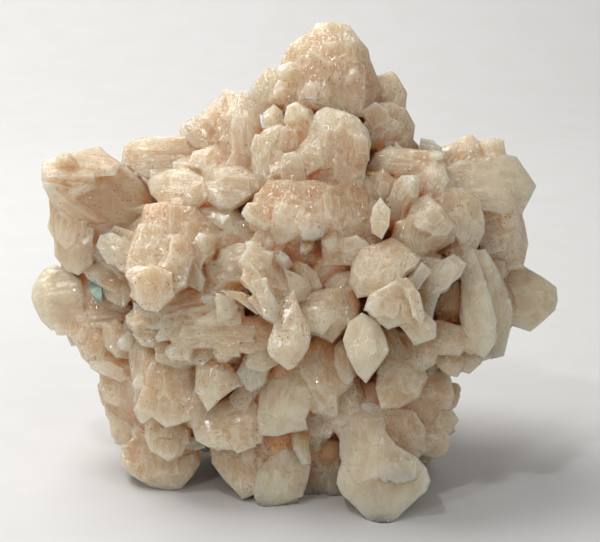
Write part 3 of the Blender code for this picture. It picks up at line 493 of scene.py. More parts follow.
def left_side():
    """The left shoulder block and all below it, down to the ground."""
    return [
        tablet(
            [(-64.6, 91.6), (-61, 92.9), (-54.5, 94.4), (-50, 95.4), (-48.4, 93.8), (-44.8, 91.2),
             (-46, 88), (-54, 87.5), (-64, 88)],
            2, (0, 42), -75, 10, warm=0.3, ribs=1.0,
        ),
        tablet(
            [(-64.6, 90.3), (-57, 90.9), (-50, 90.1), (-43.5, 90.3), (-39.5, 86.5), (-36.5, 82),
             (-39, 75), (-45, 73), (-51, 72), (-55, 74), (-60, 78.5), (-63, 82.5), (-64.7, 87)],
            3, (16, -2), -60, 12, warm=0.5, ribs=0.0,
        ),
        tablet(
            [(-62.8, 82.3), (-58, 81), (-53.5, 76.5), (-51.6, 71), (-52, 66), (-55.5, 63.2),
             (-58.6, 64.4), (-61.3, 68), (-61.4, 71), (-62.4, 77)],
            3.5, (-20, 5), 185, 11, warm=0.35, ribs=0.3,
        ),
        tablet(
            [(-54.8, 64.8), (-54, 67.5), (-51, 69.5), (-46, 68.7), (-43, 66.3), (-42, 62),
             (-42, 57.5), (-44, 55), (-48, 57), (-50, 60), (-53, 62.3)],
            4.5, (-5, 10), -60, 9, warm=0.3,
        ),
        tablet(
            [(-63.3, 65.4), (-65, 63.5), (-66.7, 60.5), (-67.1, 57.5), (-66.2, 54.8),
             (-64.6, 51.8), (-62.2, 49.4), (-58, 49.5), (-54, 52.5), (-54.3, 58), (-54.8, 62),
             (-57.5, 64), (-61, 65.8)],
            -1, (-15, 8), -95, 11, warm=0.35, clear=1.0, ribs=0.0,
        ),
        tablet(
            [(-56, 53), (-50.5, 55.5), (-46, 56.5), (-42.5, 54), (-44, 50), (-50, 50), (-56, 49)],
            1.5, (-5, 14), -95, 8, warm=0.45,
        ),
        tablet(
            [(-59, 54.8), (-60.3, 49.8), (-57.5, 47.9), (-55.6, 45), (-54.5, 42.4), (-52, 40.5),
             (-47, 41), (-44, 46), (-46, 52), (-50, 54.5)],
            2, (-12, 12), 200, 9, warm=0.5,
        ),
        tablet(
            [(-49.6, 51), (-46, 52.4), (-43.3, 50), (-41.5, 45), (-42.3, 42.2), (-46, 42.6),
             (-48.7, 45.3)],
            6, (-10, 15), 170, 7, warm=0.15,
        ),
        tablet(
            [(-53, 41.6), (-48, 43.5), (-43.5, 43), (-41.8, 40), (-42.3, 37.3), (-45, 36.3),
             (-49.4, 38.3), (-52.2, 39.8)],
            4.5, (0, 20), -60, 8, warm=0.5,
        ),
        tablet(
            [(-50, 39), (-45, 39.5), (-42, 38), (-42, 31), (-46, 30.5), (-48.8, 31.8),
             (-50.1, 35.5)],
            3.5, (-15, 10), 190, 8, warm=0.65,
        ),
        tablet(
            [(-50, 36.6), (-49.2, 32), (-48, 27.4), (-46.4, 21.2), (-43.5, 20.2), (-39, 19.5),
             (-37, 23), (-38, 28), (-41, 33), (-44, 38)],
            1, (-15, 5), 185, 9, warm=0.9, clear=1.0, ribs=0.0,
        ),
        tablet(
            [(-39, 80.8), (-33.5, 81.7), (-29, 80), (-28, 72), (-29, 65), (-29.5, 61),
             (-31.5, 57.3), (-35.5, 53.9), (-39, 54.6), (-41, 56.6), (-42.7, 61), (-43.7, 65),
             (-42.3, 69), (-40.5, 73)],
            19, (-14, 28), 186, 12, warm=0.25, ribs=0.2,
        ),
        tablet(
            [(-33, 81), (-26, 80.3), (-20, 75), (-20.8, 71), (-23.5, 67.3), (-25.5, 63.3),
             (-27.6, 60.3), (-30, 61.3), (-33, 66), (-33, 74)],
            18.5, (22, 24), 175, 12, warm=0.4,
        ),
        tablet(
            [(-42, 62.5), (-37, 66), (-32, 64), (-31.2, 58), (-35.5, 54), (-39, 54.7),
             (-41, 56.7)],
            25.5, (-10, 2), 186, 6, warm=0.3, ribs=0.0,
        ),
        tablet(
            [(-37, 47.5), (-31, 45.5), (-25, 45), (-24.5, 41), (-30, 39.5), (-36, 41.5)],
            15, (0, 15), 180, 8, warm=0.5,
        ),
        tablet(
            [(-43, 45.8), (-41, 47), (-36.5, 44), (-35.5, 37), (-36, 31), (-38, 28.3), (-41, 33),
             (-42.3, 38.5)],
            12, (-30, 14), 180, 8, warm=0.2, ribs=1.0,
        ),
        tablet(
            [(-39.5, 43.5), (-35, 43.5), (-29, 42), (-25, 41), (-24.6, 35), (-26, 31),
             (-27.4, 27), (-30.5, 25.9), (-33.5, 25.1), (-36.5, 27.3), (-38.6, 30), (-39, 36)],
            15.5, (6, 20), 178, 11, warm=0.3, ribs=0.3,
        ),
        tablet(
            [(-25.3, 43.5), (-19, 42.5), (-16.2, 39.6), (-15.2, 37), (-16, 35.1), (-20, 32),
             (-23, 29.1), (-24.4, 31.5), (-26.2, 34.3), (-26, 39)],
            20, (10, 22), 190, 8, warm=0.3,
        ),
        tablet(
            [(-38.5, 29), (-38.8, 23), (-37.5, 19.2), (-33, 16.6), (-29.5, 18.3), (-27.2, 23.3),
             (-27, 29)],
            9, (-4, 12), 180, 10, warm=0.35, ribs=1.0,
        ),
        tablet(
            [(-43.4, 21.6), (-44.7, 17), (-44.4, 15.2), (-41.5, 12.9), (-37.5, 10.4),
             (-32.5, 9.4), (-29.7, 9.9), (-27, 12.9), (-24.9, 16.2), (-25.3, 20.5), (-30, 24),
             (-38, 24)],
            4, (-4, -6), 175, 11, warm=0.5,
        ),
    ]


def centre():
    """The sheaves and leaves in the middle of the face."""
    return [
        tablet(
            [(-11.3, 83), (-8, 87), (-2, 87), (1.5, 85), (2, 78), (0, 73), (-4.5, 70.8),
             (-9, 72.3), (-12.7, 75), (-13.2, 79)],
            20.5, (-12, 18), 190, 10, warm=0.5, ribs=0.4,
        ),
        tablet(
            [(-1.5, 86.5), (4, 87), (10.5, 85.5), (12.5, 80), (11, 74.5), (6, 72), (0.5, 72.3),
             (-1.5, 78)],
            21.5, (4, 20), 180, 10, warm=0.55,
        ),
        tablet(
            [(9, 86), (14, 87), (17, 84.5), (17.6, 79), (16.3, 73.5), (12, 71), (9, 74)],
            19, (16, 16), 175, 10, warm=0.6,
        ),
        tablet(
            [(-7, 73.5), (-2, 75), (2, 73), (3.5, 69.5), (-1, 67.3), (-5, 69)],
            19, (10, -10), 110, 7, warm=0.7, ribs=0.8,
        ),
        tablet(
            [(-21.4, 63.6), (-21.2, 66.5), (-20, 69.6), (-15.5, 71.2), (-11.5, 71.6), (-10.5, 67),
             (-13.5, 63.8), (-17, 63.1)],
            16.5, (-16, 10), -100, 8, warm=0.35, ribs=0.8,
        ),
        tablet(
            [(-21.2, 58.7), (-17.5, 58.4), (-15.3, 55.5), (-16.7, 52.1), (-20.8, 51)],
            22, (15, 0), 160, 6, warm=0.4,
        ),
        tablet(
            [(-20, 59.5), (-15, 59.2), (-10, 57.2), (-7.2, 55), (-8.5, 53.2), (-11, 53.4),
             (-14.5, 56), (-17.7, 58)],
            23, (0, 25), 115, 6, warm=0.2, ribs=0.8,
        ),
        tablet(
            [(-41.7, 56.6), (-38, 54.2), (-33, 55), (-28, 58.5), (-23, 60.5), (-18, 59),
             (-14, 56), (-14, 51), (-20, 49.5), (-30, 49.5), (-38, 49.7), (-41.2, 52)],
            18, (-10, 18), -95, 9, warm=0.4, ribs=0.7,
        ),
        tablet(
            [(-35.3, 50.3), (-30.6, 44.6), (-25, 45), (-18, 44.8), (-12.8, 43.4), (-8, 44.9),
             (-5, 48), (-5, 54), (-13, 53), (-20, 51.7), (-28, 51.3)],
            21, (-5, 20), -88, 9, warm=0.3, ribs=0.8,
        ),
        tablet(
            [(-25.3, 45.5), (-14, 45), (-12.7, 43), (-12.9, 40.3), (-17, 41), (-22, 42),
             (-26, 43)],
            18, (0, -12), 95, 8, warm=0.6,
        ),
        tablet(
            [(-13.7, 71.6), (-11.5, 72), (-9, 70.6), (-5, 66.4), (-1.5, 63.6), (-0.8, 59),
             (-1.3, 55.5), (-4, 54), (-6.3, 54), (-10, 57.4), (-12.3, 59.1), (-14.7, 62.1),
             (-14.3, 65), (-12.8, 68)],
            26, (10, 24), 150, 10, warm=0.55, ribs=0.5,
        ),
        tablet(
            [(-14.8, 62), (-14.2, 65), (-12.3, 67), (-9.3, 62.3), (-6.2, 57.5), (-6, 54.2),
             (-8, 55), (-12.3, 59)],
            28.5, (-26, 14), 155, 6, warm=0.2,
        ),
        tablet(
            [(-4, 65), (-1.5, 64), (2, 62.2), (3.1, 60.3), (1.5, 57), (-2, 56)],
            24, (15, 10), 140, 8, warm=0.5,
        ),
        tablet(
            [(-5.5, 56.5), (-1.5, 59.5), (-0.3, 56), (1, 53), (2.5, 50), (2.6, 47), (2, 44.6),
             (0.5, 42.3), (-1.5, 40), (-3, 39.4), (-5.2, 41), (-7.6, 42.9), (-8.1, 44.7),
             (-7.8, 47), (-6.8, 50)],
            31, (-4, 26), 180, 9, warm=0.2, ribs=0.7,
        ),
        tablet(
            [(-1, 57), (4, 59.2), (9, 60.5), (13.2, 59.8), (15.2, 56), (14.6, 53), (12, 50.9),
             (10, 48.4), (8, 46.2), (6, 47.4), (2.5, 48.6), (-0.5, 52)],
            24, (2, 18), 178, 9, warm=0.15, ribs=0.6,
        ),
        tablet(
            [(-3, 66.3), (0, 66.8), (4, 64.3), (5.7, 60.5), (4, 57.3), (0, 56.8), (-2, 60)],
            21, (-8, 8), 175, 7, warm=0.5,
        ),
        tablet(
            [(5.5, 61), (9, 63.8), (12.6, 64.3), (14.2, 61), (12, 58), (8, 58)],
            20.5, (-10, 15), 40, 7, warm=0.3, ribs=0.8,
        ),
        tablet(
            [(12.2, 51.6), (15.5, 53.8), (19.5, 51.8), (21.6, 47.5), (22.3, 44.3), (20, 40.7),
             (16.5, 36.1), (14.2, 38.5), (11.9, 42.8), (10.7, 47)],
            31, (4, 24), 178, 10, warm=0.1, clear=1.0, ribs=0.2,
        ),
        tablet(
            [(0, 45.5), (4, 48), (10, 48), (14, 43), (13.4, 36), (12.1, 34.4), (8.5, 32.3),
             (5, 33.5), (2.3, 35), (-0.2, 39)],
            21, (4, 16), 175, 9, warm=0.45,
        ),
        tablet(
            [(8.2, 32.3), (12.8, 33.5), (13, 27), (12.6, 22.3), (10, 21.8), (7.7, 26),
             (8.4, 29.5)],
            16, (-12, 10), 185, 7, warm=0.2,
        ),
        tablet(
            [(-10.3, 23.3), (-10.7, 28), (-10.1, 34.5), (-7.5, 38.8), (-4, 41.3), (0.7, 40.2),
             (3.1, 35), (2.6, 30), (1.3, 27), (2.1, 24.5), (-2.5, 24), (-5.5, 23)],
            20.5, (-12, 20), 184, 10, warm=0.1, clear=1.0, ribs=0.3,
        ),
        tablet(
            [(-27.2, 26), (-26.1, 21.9), (-23, 20.2), (-18.5, 19.5), (-14, 20.3), (-9.5, 21.3),
             (-9, 28), (-12, 33.5), (-17, 34), (-21, 32), (-24.7, 29.3)],
            15, (-6, 20), -110, 10, warm=0.35, ribs=0.8,
        ),
    ]


def bottom():
    """The lowest tablets, with the large one at the right that reaches the ground."""
    return [
        tablet(
            [(-22.7, 20), (-22.1, 16.2), (-18.6, 11.6), (-14.3, 7.1), (-11.8, 8.2), (-9.5, 13),
             (-9, 20), (-13, 22), (-18, 21.5)],
            10, (-8, 14), 172, 9, warm=0.4, ribs=1.0,
        ),
        tablet(
            [(-11.9, 9.5), (-10.6, 5.5), (-8.8, 4.7), (-3, 6.4), (0.5, 7.9), (1.9, 11.5),
             (2.8, 15.4), (1, 19), (-3.5, 19.8), (-7, 18), (-10.5, 14.8)],
            13, (-4, 10), 190, 10, warm=0.1, clear=1.0,
        ),
        tablet(
            [(0, 22), (6, 23), (12, 21), (12, 14), (8.5, 11.5), (4, 12), (0, 15)],
            7, (0, -10), 180, 9, warm=0.8,
        ),
        tablet(
            [(12.4, 36.5), (12.5, 24.5), (11.5, 19.5), (9.7, 14.5), (9.1, 11.3), (10.2, 8.6),
             (16.5, 2.6), (20.6, -0.4), (22.3, 0.7), (28, 6), (31.6, 9.3), (32.6, 11.8),
             (31.6, 15), (29, 17.9), (24.2, 20.6), (21.2, 24.5), (20.4, 29), (18.8, 36.5)],
            21.5, (-8, 22), 178, 11, warm=0.1, clear=1.0, ribs=0.5,
        ),
        tablet(
            [(18.8, 35), (19.8, 40), (23, 45), (26.5, 44.6), (30.6, 41.2), (31.9, 37.5),
             (29.8, 32.8), (25, 30), (20.3, 29.8)],
            19, (14, 10), 30, 9, warm=0.25, ribs=0.8,
        ),
        tablet(
            [(29, 36), (31.5, 39.5), (36, 39.3), (37.8, 37.1), (38.6, 33), (37.6, 29.7),
             (33, 28.7), (28.5, 31.3)],
            9, (20, 0), 80, 9, warm=0.6,
        ),
        tablet(
            [(26, 29.5), (33, 30.6), (37.5, 30.1), (39.8, 27), (37.2, 23.3), (33, 22.8),
             (27, 25)],
            8, (14, 12), 92, 8, warm=0.55,
        ),
        tablet(
            [(27, 26.3), (33, 25.7), (37, 23.9), (37.4, 20.5), (36.4, 18.4), (33.5, 17.5),
             (31, 18.1), (27, 21)],
            9.5, (12, -4), 110, 8, warm=0.45,
        ),
        tablet(
            [(20.5, 27.5), (23.5, 30), (28.3, 29.5), (31.3, 25.2), (31.8, 19.3), (29, 17.2),
             (23.5, 18.3), (21, 22)],
            15, (18, -6), 150, 9, warm=0.55,
        ),
    ]


def right_side():
    """The right shoulder, the steep sheaf below it and the tablet at the far right."""
    return [
        tablet(
            [(14.8, 69.8), (19, 71), (23, 72.7), (26.3, 70.7), (30.2, 67.5), (28.7, 65),
             (25.7, 63.5), (22.5, 60.7), (19, 58.5), (14.3, 57.5), (12.3, 61.5), (12.9, 66)],
            26, (-6, 22), 200, 12, warm=0.1, ribs=0.5,
        ),
        tablet(
            [(16, 54.7), (17.4, 58.6), (21.5, 60.6), (24, 62), (27.6, 59), (29.4, 55),
             (29.9, 51.3), (25.5, 50.8), (22, 49.6), (19.7, 51.3), (18.1, 54)],
            29.5, (4, 8), 185, 12, warm=0.15,
        ),
        tablet(
            [(23, 62.5), (27, 62.5), (30, 58.5), (31.3, 53), (30.3, 50.5), (28.5, 52.5),
             (27, 57)],
            30.5, (-20, 10), 165, 8, warm=0.15,
        ),
        tablet(
            [(28.5, 60), (33.5, 66), (38.5, 68.5), (41.7, 66), (40.2, 62.8), (37.5, 60.8),
             (35, 59), (34, 56), (33, 51.6), (31, 51.8), (30, 56.5)],
            22, (-12, 20), -150, 9, warm=0.1, clear=1.0,
        ),
        tablet(
            [(39.8, 68.8), (43.5, 70), (45.7, 64), (47.7, 58), (49.2, 52), (48.7, 46), (46, 42.3),
             (43, 44), (40.6, 49.5), (39.8, 53), (40.6, 60)],
            17, (-24, 8), 172, 9, warm=0.1, clear=1.0, ribs=1.0,
        ),
        tablet(
            [(43.5, 69.5), (46.5, 69.8), (49.3, 65), (51.7, 59.5), (53.2, 54), (52.2, 48),
             (51, 43), (47.5, 42.2), (46, 52), (45, 60)],
            14, (22, 4), 172, 10, warm=0.15, clear=1.0, ribs=1.0,
        ),
        tablet(
            [(35, 60.5), (39.5, 62), (41, 56), (40, 50), (35.5, 49.5), (33.5, 54)],
            12, (-8, -5), 175, 8, warm=1.0, ribs=0.0,
        ),
        tablet(
            [(31, 51.5), (35, 52), (40.5, 50.5), (43, 47), (40, 43), (34, 43.5), (30, 46.5)],
            17, (-4, 12), 190, 9, warm=0.3,
        ),
        tablet(
            [(26, 47.5), (31, 48.5), (34.5, 45.5), (33.8, 41), (31, 39.3), (27.7, 41)],
            17, (6, 8), 170, 8, warm=0.35,
        ),
        tablet(
            [(33, 46), (38, 47.5), (41, 44.5), (41, 40.5), (39.3, 37.7), (37, 38.2),
             (34.3, 40.3)],
            12.5, (6, 10), 170, 8, warm=0.5,
        ),
        tablet(
            [(39, 49), (44, 49), (46.7, 45), (45.4, 41.2), (42.4, 38.6), (40, 39.3), (38.5, 44)],
            11, (14, 6), 165, 8, warm=0.4,
        ),
        tablet(
            [(47, 62.5), (51, 65.3), (55.5, 65.7), (60.5, 62.9), (64.1, 60.2), (64.4, 57),
             (63.8, 54.4), (60.5, 51.4), (57.5, 49.1), (52.5, 50.8), (47, 54)],
            -3, (12, 10), 95, 9, warm=0.05, clear=1.0, ribs=0.1,
        ),
        tablet(
            [(44.5, 80.5), (50, 81.3), (54.9, 80), (56.1, 76.5), (57.1, 71), (56.4, 67.8),
             (55.6, 64.8), (51, 64.3), (46, 67), (44, 73)],
            3.5, (22, 0), 80, 10, warm=0.25,
        ),
        tablet(
            [(35.2, 84.8), (40.5, 85), (44.7, 82.2), (46, 78), (46.2, 74), (44.4, 69.8),
             (42, 69.3), (39.7, 72), (37, 75.5), (34.5, 79.5)],
            14, (10, 14), 170, 11, warm=0.15,
        ),
        tablet(
            [(36, 73), (40, 73), (44, 70), (45.5, 66.5), (43, 64.5), (38, 66.5), (34.5, 70)],
            14, (0, 20), 175, 9, warm=0.3,
        ),
        tablet(
            [(26.5, 77.5), (28.4, 82.2), (32, 83.3), (35.6, 80.3), (38.8, 75.5), (36.5, 72.8),
             (33.3, 73.3), (29.5, 74.8)],
            19.5, (0, 26), -140, 9, warm=0.15,
        ),
        tablet(
            [(23.3, 86), (25.5, 88.3), (28.2, 86.8), (29.2, 83), (27.5, 80), (24, 80),
             (22.6, 83)],
            16, (-5, 14), 180, 8, warm=0.25,
        ),
        tablet(
            [(23.8, 76.5), (28, 77.8), (31.8, 75.8), (33.3, 71.5), (32.2, 68.8), (28.5, 66.3),
             (25, 68.5), (22.8, 72.5)],
            20, (10, 8), 170, 9, warm=0.5,
        ),
        tablet(
            [(20.2, 82.8), (21.3, 81), (22.6, 79.5), (22.2, 75.5), (20.5, 72.2), (18, 73.8),
             (17.5, 77), (18.3, 80.5)],
            24, (-16, 12), 5, 11, warm=0.1, ribs=0.8,
        ),
        tablet(
            [(16.6, 90), (19, 93.7), (22.5, 95), (28, 94.8), (34, 94.2), (36.5, 91), (33, 88),
             (27, 88.2), (22, 88.5)],
            9.5, (0, 22), -85, 9, warm=0.3,
        ),
        tablet(
            [(16.5, 89), (21, 89.5), (24, 87), (23.5, 82.5), (19.5, 82), (17, 84.5)],
            15, (0, 10), 190, 8, warm=0.5,
        ),
        tablet(
            [(30.2, 97.5), (33.3, 96.9), (35.3, 95), (35, 91), (30.5, 91), (29.8, 95)],
            -2, (-10, 15), -10, 7, warm=0.05, clear=1.0,
        ),
        tablet(
            [(34.3, 95), (37.5, 95.9), (41, 97.9), (42.8, 98.7), (44.8, 96.3), (46.5, 90),
             (40, 87), (33.5, 89)],
            -2, (-10, 14), 25, 8, warm=0.3,
        ),
        tablet(
            [(44.3, 96.6), (48.5, 97.5), (50.9, 97.1), (51.3, 94.5), (51.5, 90), (50, 86),
             (43, 88)],
            -4, (12, 10), 15, 8, warm=0.3,
        ),
        tablet(
            [(35.5, 90), (43, 92.8), (51, 93.5), (54, 92.9), (57, 88.6), (59.1, 85.5), (57.4, 82),
             (55.4, 78.5), (50, 78.5), (44, 80), (38, 82.5), (34.5, 86)],
            3.5, (10, 20), 85, 10, warm=0.1, clear=1.0, ribs=0.7,
        ),
        tablet(
            [(31.2, 90.5), (33, 92.5), (36.2, 90.8), (37.3, 87), (35.7, 83.7), (32.3, 83.2),
             (30.7, 86.5)],
            12.5, (-20, 14), 20, 8, warm=0.2, ribs=1.0,
        ),
    ]


def lumps():
    """The grown mass that the crystals stand on, as balls: centre as seen, and radius."""
    return [
        ((-2.0, 62.0, -12), 30),
        ((0.0, 46.0, -8), 28),
        ((0.0, 80.0, 1), 17),
        ((7.5, 104.0, -9), 12),
        ((-1.0, 94.0, -6), 11),
        ((20.0, 91.0, -8), 11),
        ((-18.0, 86.0, -9), 15),
        ((-47.0, 79.0, -15), 13),
        ((-48.0, 57.0, -11), 13),
        ((-50.0, 69.0, -13), 11),
        ((-30.0, 66.0, -2), 17),
        ((-34.0, 36.0, -8), 17),
        ((-6.0, 25.0, -6), 19),
        ((22.0, 32.0, -3), 17),
        ((38.0, 79.0, -11), 16),
        ((24.0, 76.0, 0), 16),
        ((38.0, 57.0, -8), 17),
        ((18.0, 64.0, -19), 23),
        ((-24.0, 60.0, -20), 22),
        ((6.0, 18.0, -14), 18),
    ]


def in_view_plane(way):
    """A vector without its part that points out of the view."""
    return way - OUT_OF_VIEW * way.dot(OUT_OF_VIEW)


def behind_mass(place):
    """Whether the mass hides a place from someone who looks at the face."""
    for centre, radius in lumps():
        if in_view_plane(place - seen(*centre)).length < radius - HIDDEN_MARGIN:
            return True
    return False


def spread_directions(count):
    """Directions all round, evenly spaced by the golden angle."""
    for index in range(count):
        height = 1.0 - 2.0 * (index + 0.5) / count
        level = math.sqrt(1.0 - height * height)
        angle = GOLDEN_ANGLE * index
        yield Vector((level * math.cos(angle), level * math.sin(angle), height))


def surface_spots(spacing, smaller=0.0):
    """Places all over the outside of the mass, about this far apart, with the way out there."""
    balls = [(seen(*place), radius - smaller) for place, radius in lumps()]
    for centre, radius in balls:
        count = round(4 * math.pi * radius * radius / spacing / spacing)
        for direction in spread_directions(count):
            spot = centre + direction * radius
            inside = sum((spot - other).length < reach * COVERED_SHARE for other, reach in balls)
            if inside == 0 and spot.z > LOWEST_SPOT:
                yield spot, direction


def drawn_vector(limits, rng):
    """A vector whose numbers are drawn between these limits."""
    return Vector([rng.uniform(*pair) for pair in limits])


def blade(spot, along, length, sunk, wide, thick, facing, blunt, warm=PLAIN_WARM):
    """A crystal that is sunk at a spot by a share of its length."""
    return {
        "tip": spot + along * length * (1 - sunk), "root": spot - along * length * sunk,
        "wide": wide, "thick": thick, "facing": facing, "blunt": blunt, "warm": warm,
    }


def standing_crystal(spot, outward, sway_by, length, wide, rng):
    """A crystal that stands on a place of the mass and leans at random."""
    along = (outward + drawn_vector(STANDING_SWAY, rng) * sway_by).normalized()
    facing = Matrix.Rotation(rng.uniform(0, math.pi), 3, along) @ (outward + FACING_BIAS)
    blunt = rng.uniform(*BLUNT_SHARE)
    return blade(spot, along, length, SUNK_SHARE, wide, wide * THICK_SHARE, facing, blunt)


def blade_axes(entry):
    """Length of a standing crystal, and its axes at the root, in the middle of its thickness."""
    along = entry["tip"] - entry["root"]
    length = along.length
    along.normalize()
    facing = entry["facing"] - along * entry["facing"].dot(along)
    return length, axes(entry["root"], along, facing.normalized())


def grown(entry, rng):
    """A standing crystal with its outline, root at the bottom."""
    length, place = blade_axes(entry)
    half = entry["wide"] / 2
    lean = rng.uniform(*LEAN_SPREAD) * half
    blunt = half * entry["blunt"]
    left_shoulder = SHOULDER_SHARE + rng.uniform(*SHOULDER_SPREAD)
    right_shoulder = SHOULDER_SHARE + rng.uniform(*SHOULDER_SPREAD)
    entry["outline"] = [
        (-half * ROOT_SHARE, 0.0),
        (half * ROOT_SHARE, 0.0),
        (half, length * right_shoulder),
        (blunt + lean, length),
        (-blunt + lean, length),
        (-half, length * left_shoulder),
    ]
    entry["place"] = place @ Matrix.Translation((0.0, -entry["thick"] / 2, 0.0))
    entry["eye"] = None
    return entry


def stays_in(entry):
    """Whether the mass hides a crystal's tip and its shoulders from the viewer."""
    length, place = blade_axes(entry)
    half = entry["wide"] / 2
    places = [entry["tip"]]
    for side in (-half, half):
        places.append(place @ Vector((side, 0, length * SHOULDER_SHARE)))
    return all(behind_mass(spot) for spot in places)


def draw_in(entry):
    """Turn a crystal away and shorten it, a little at a time, until the mass hides it."""
    length = (entry["tip"] - entry["root"]).length
    for attempt in range(DRAW_IN_TRIES):
        if stays_in(entry):
            return
        along = entry["tip"] - OUT_OF_VIEW * DRAW_IN_STEP - entry["root"]
        length *= DRAW_IN_SHARE
        entry["tip"] = entry["root"] + along.normalized() * length


def hidden_side(rng):
    """Crystals of the back, the sides and the underside."""
    found = []
    for spot, outward in surface_spots(BACK_SPACING):
        if outward.dot(OUT_OF_VIEW) > BACK_FACING:
            continue
        length = rng.uniform(*BACK_LENGTH)
        wide = rng.uniform(*BACK_WIDE)
        entry = standing_crystal(spot, outward, BACK_SWAY, length, wide, rng)
        draw_in(entry)
        found.append(grown(entry, rng))
    return found


def over_listed(place, listed):
    """Whether a place is seen inside the outline of a listed crystal."""
    across, up = as_seen(place)
    for entry in listed:
        crossings = 0
        for (x0, z0), (x1, z1) in sides_of(entry["corners"]):
            if (z0 > up) != (z1 > up):
                crossings += across < x0 + (up - z0) / (z1 - z0) * (x1 - x0)
        if crossings % 2:
            return True
    return False


def small_front(listed, rng):
    """Small crystals that fill the face between the listed ones."""
    found = []
    for spot, outward in surface_spots(FACE_SPACING):
        near_green = (spot - seen(*GREEN_TIP)).length < GREEN_CLEAR
        if outward.dot(OUT_OF_VIEW) < FACE_FACING or near_green:
            continue
        length = rng.uniform(*FACE_LENGTH)
        wide = rng.uniform(*FACE_WIDE)
        entry = standing_crystal(spot, outward, FACE_SWAY, length, wide, rng)
        draw_in(entry)
        if not over_listed(entry["tip"], listed):
            found.append(grown(entry, rng))
    return found


def lying_crystal(spot, outward, rng):
    """A crystal that lies on the mass and points away from its core."""
    away = in_view_plane(spot - seen(*MASS_CORE, 0.0)).normalized()
    away = (away - outward * away.dot(outward)).normalized()
    sway = drawn_vector(DRUSE_SWAYS, rng) * DRUSE_SWAY
    along = (away + outward * rng.uniform(*DRUSE_LIFT) + sway).normalized()
    length = rng.uniform(*DRUSE_LENGTH)
    wide = rng.uniform(*DRUSE_WIDE)
    facing = Matrix.Rotation(rng.uniform(-DRUSE_TURN, DRUSE_TURN), 3, along) @ outward
    blunt = rng.uniform(*BLUNT_SHARE)
    warm = rng.uniform(*DRUSE_WARM)
    return blade(spot, along, length, SUNK_SHARE, wide, wide * THICK_SHARE, facing, blunt, warm)


def seen_distance(across, up, corners):
    """How far a place is seen from the nearest edge of a crystal."""
    nearest = math.inf
    for (x0, z0), (x1, z1) in sides_of(corners):
        share = (across - x0) * (x1 - x0) + (up - z0) * (z1 - z0)
        share = min(max(share / ((x1 - x0) ** 2 + (z1 - z0) ** 2), 0.0), 1.0)
        aside = math.hypot(across - x0 - (x1 - x0) * share, up - z0 - (z1 - z0) * share)
        nearest = min(nearest, aside)
    return nearest


def front_at(across, up, entry):
    """How far out of the face a listed crystal's front would be at a place."""
    facing = -entry["place"].col[1].to_3d()
    ray = seen(across, up, 0.0) - EYE
    hit = EYE + ray * (entry["place"].translation - EYE).dot(facing) / ray.dot(facing)
    return (hit - MIDDLE).dot(OUT_OF_VIEW)


def gap_crystals(listed, rng):
    """Crystals in the gaps between the listed ones."""
    found = []
    green = as_seen(seen(*GREEN_TIP))
    for row in range(*(round(height / GAP_STEP) for height in FACE_HEIGHTS)):
        for column in range(*(round(side / GAP_STEP) for side in FACE_SIDES)):
            across = (column + rng.uniform(-GAP_SHIFT, GAP_SHIFT)) * GAP_STEP
            up = (row + rng.uniform(-GAP_SHIFT, GAP_SHIFT)) * GAP_STEP
            length = rng.uniform(*GAP_LENGTH)
            wide = rng.uniform(*GAP_WIDE)
            angle = math.atan2(across - MASS_CORE[0], up - MASS_CORE[1])
            angle += rng.uniform(-GAP_TURN, GAP_TURN)
            right, high = (rng.uniform(-GAP_TILT, GAP_TILT) for way in range(2))
            behind = rng.uniform(*GAP_BEHIND)
            blunt = rng.uniform(*BLUNT_SHARE)
            warm = rng.uniform(*GAP_WARM)
            spot = seen(across, up, 0.0)
            if over_listed(spot, listed) or not behind_mass(spot):
                continue
            if math.hypot(across - green[0], up - green[1]) < GREEN_CLEAR:
                continue
            near = sorted(listed, key=lambda entry: seen_distance(across, up, entry["corners"]))[:2]
            out = min(front_at(across, up, entry) for entry in near) - behind
            along = UP_OF_VIEW * math.cos(angle) + RIGHT_OF_VIEW * math.sin(angle)
            spot = seen(across, up, out - GAP_THICK / 2)
            facing = OUT_OF_VIEW + RIGHT_OF_VIEW * right + UP_OF_VIEW * high
            entry = blade(spot, along, length, GAP_SUNK, wide, GAP_THICK, facing, blunt, warm)
            draw_in(entry)
            found.append(grown(entry, rng))
    return found


def seam_crystals(entry, spacing, listed, rng):
    """Small crystals that come out from under a listed one's edge, inside the cluster's outline."""
    found = []
    outline = entry["outline"]
    middle_x, middle_z = middle_of(outline)
    front = -entry["place"].col[1].to_3d()
    for (x0, z0), (x1, z1) in sides_of(outline):
        number = round(math.hypot(x1 - x0, z1 - z0) / spacing * rng.uniform(*SEAM_OFTEN))
        for piece in range(number):
            share = rng.random()
            behind = rng.uniform(*SEAM_BEHIND)
            spot = Vector((x0 + (x1 - x0) * share, behind, z0 + (z1 - z0) * share))
            along = Vector((spot.x - middle_x, 0.0, spot.z - middle_z)).normalized()
            along += Vector((0.0, 0.0, rng.uniform(0.0, SEAM_ALONG)))
            along += drawn_vector(SEAM_SWAY, rng)
            along = (entry["place"].to_3x3() @ along).normalized()
            spot = entry["place"] @ spot
            length = rng.uniform(*SEAM_LENGTH)
            wide = rng.uniform(*SEAM_WIDE)
            facing = Matrix.Rotation(rng.uniform(-SEAM_TURN, SEAM_TURN), 3, along) @ front
            blunt = rng.uniform(*BLUNT_SHARE)
            warm = min(max(entry["warm"] + rng.uniform(*SEAM_WARMER), 0.0), 1.0)
            thick = wide * SEAM_THICK
            mate = blade(spot, along, length, SEAM_SUNK, wide, thick, facing, blunt, warm)
            near_green = (mate["tip"] - seen(*GREEN_TIP)).length < GREEN_CLEAR / 2
            if not near_green and (over_listed(mate["tip"], listed) or stays_in(mate)):
                found.append(grown(mate, rng))
    return found


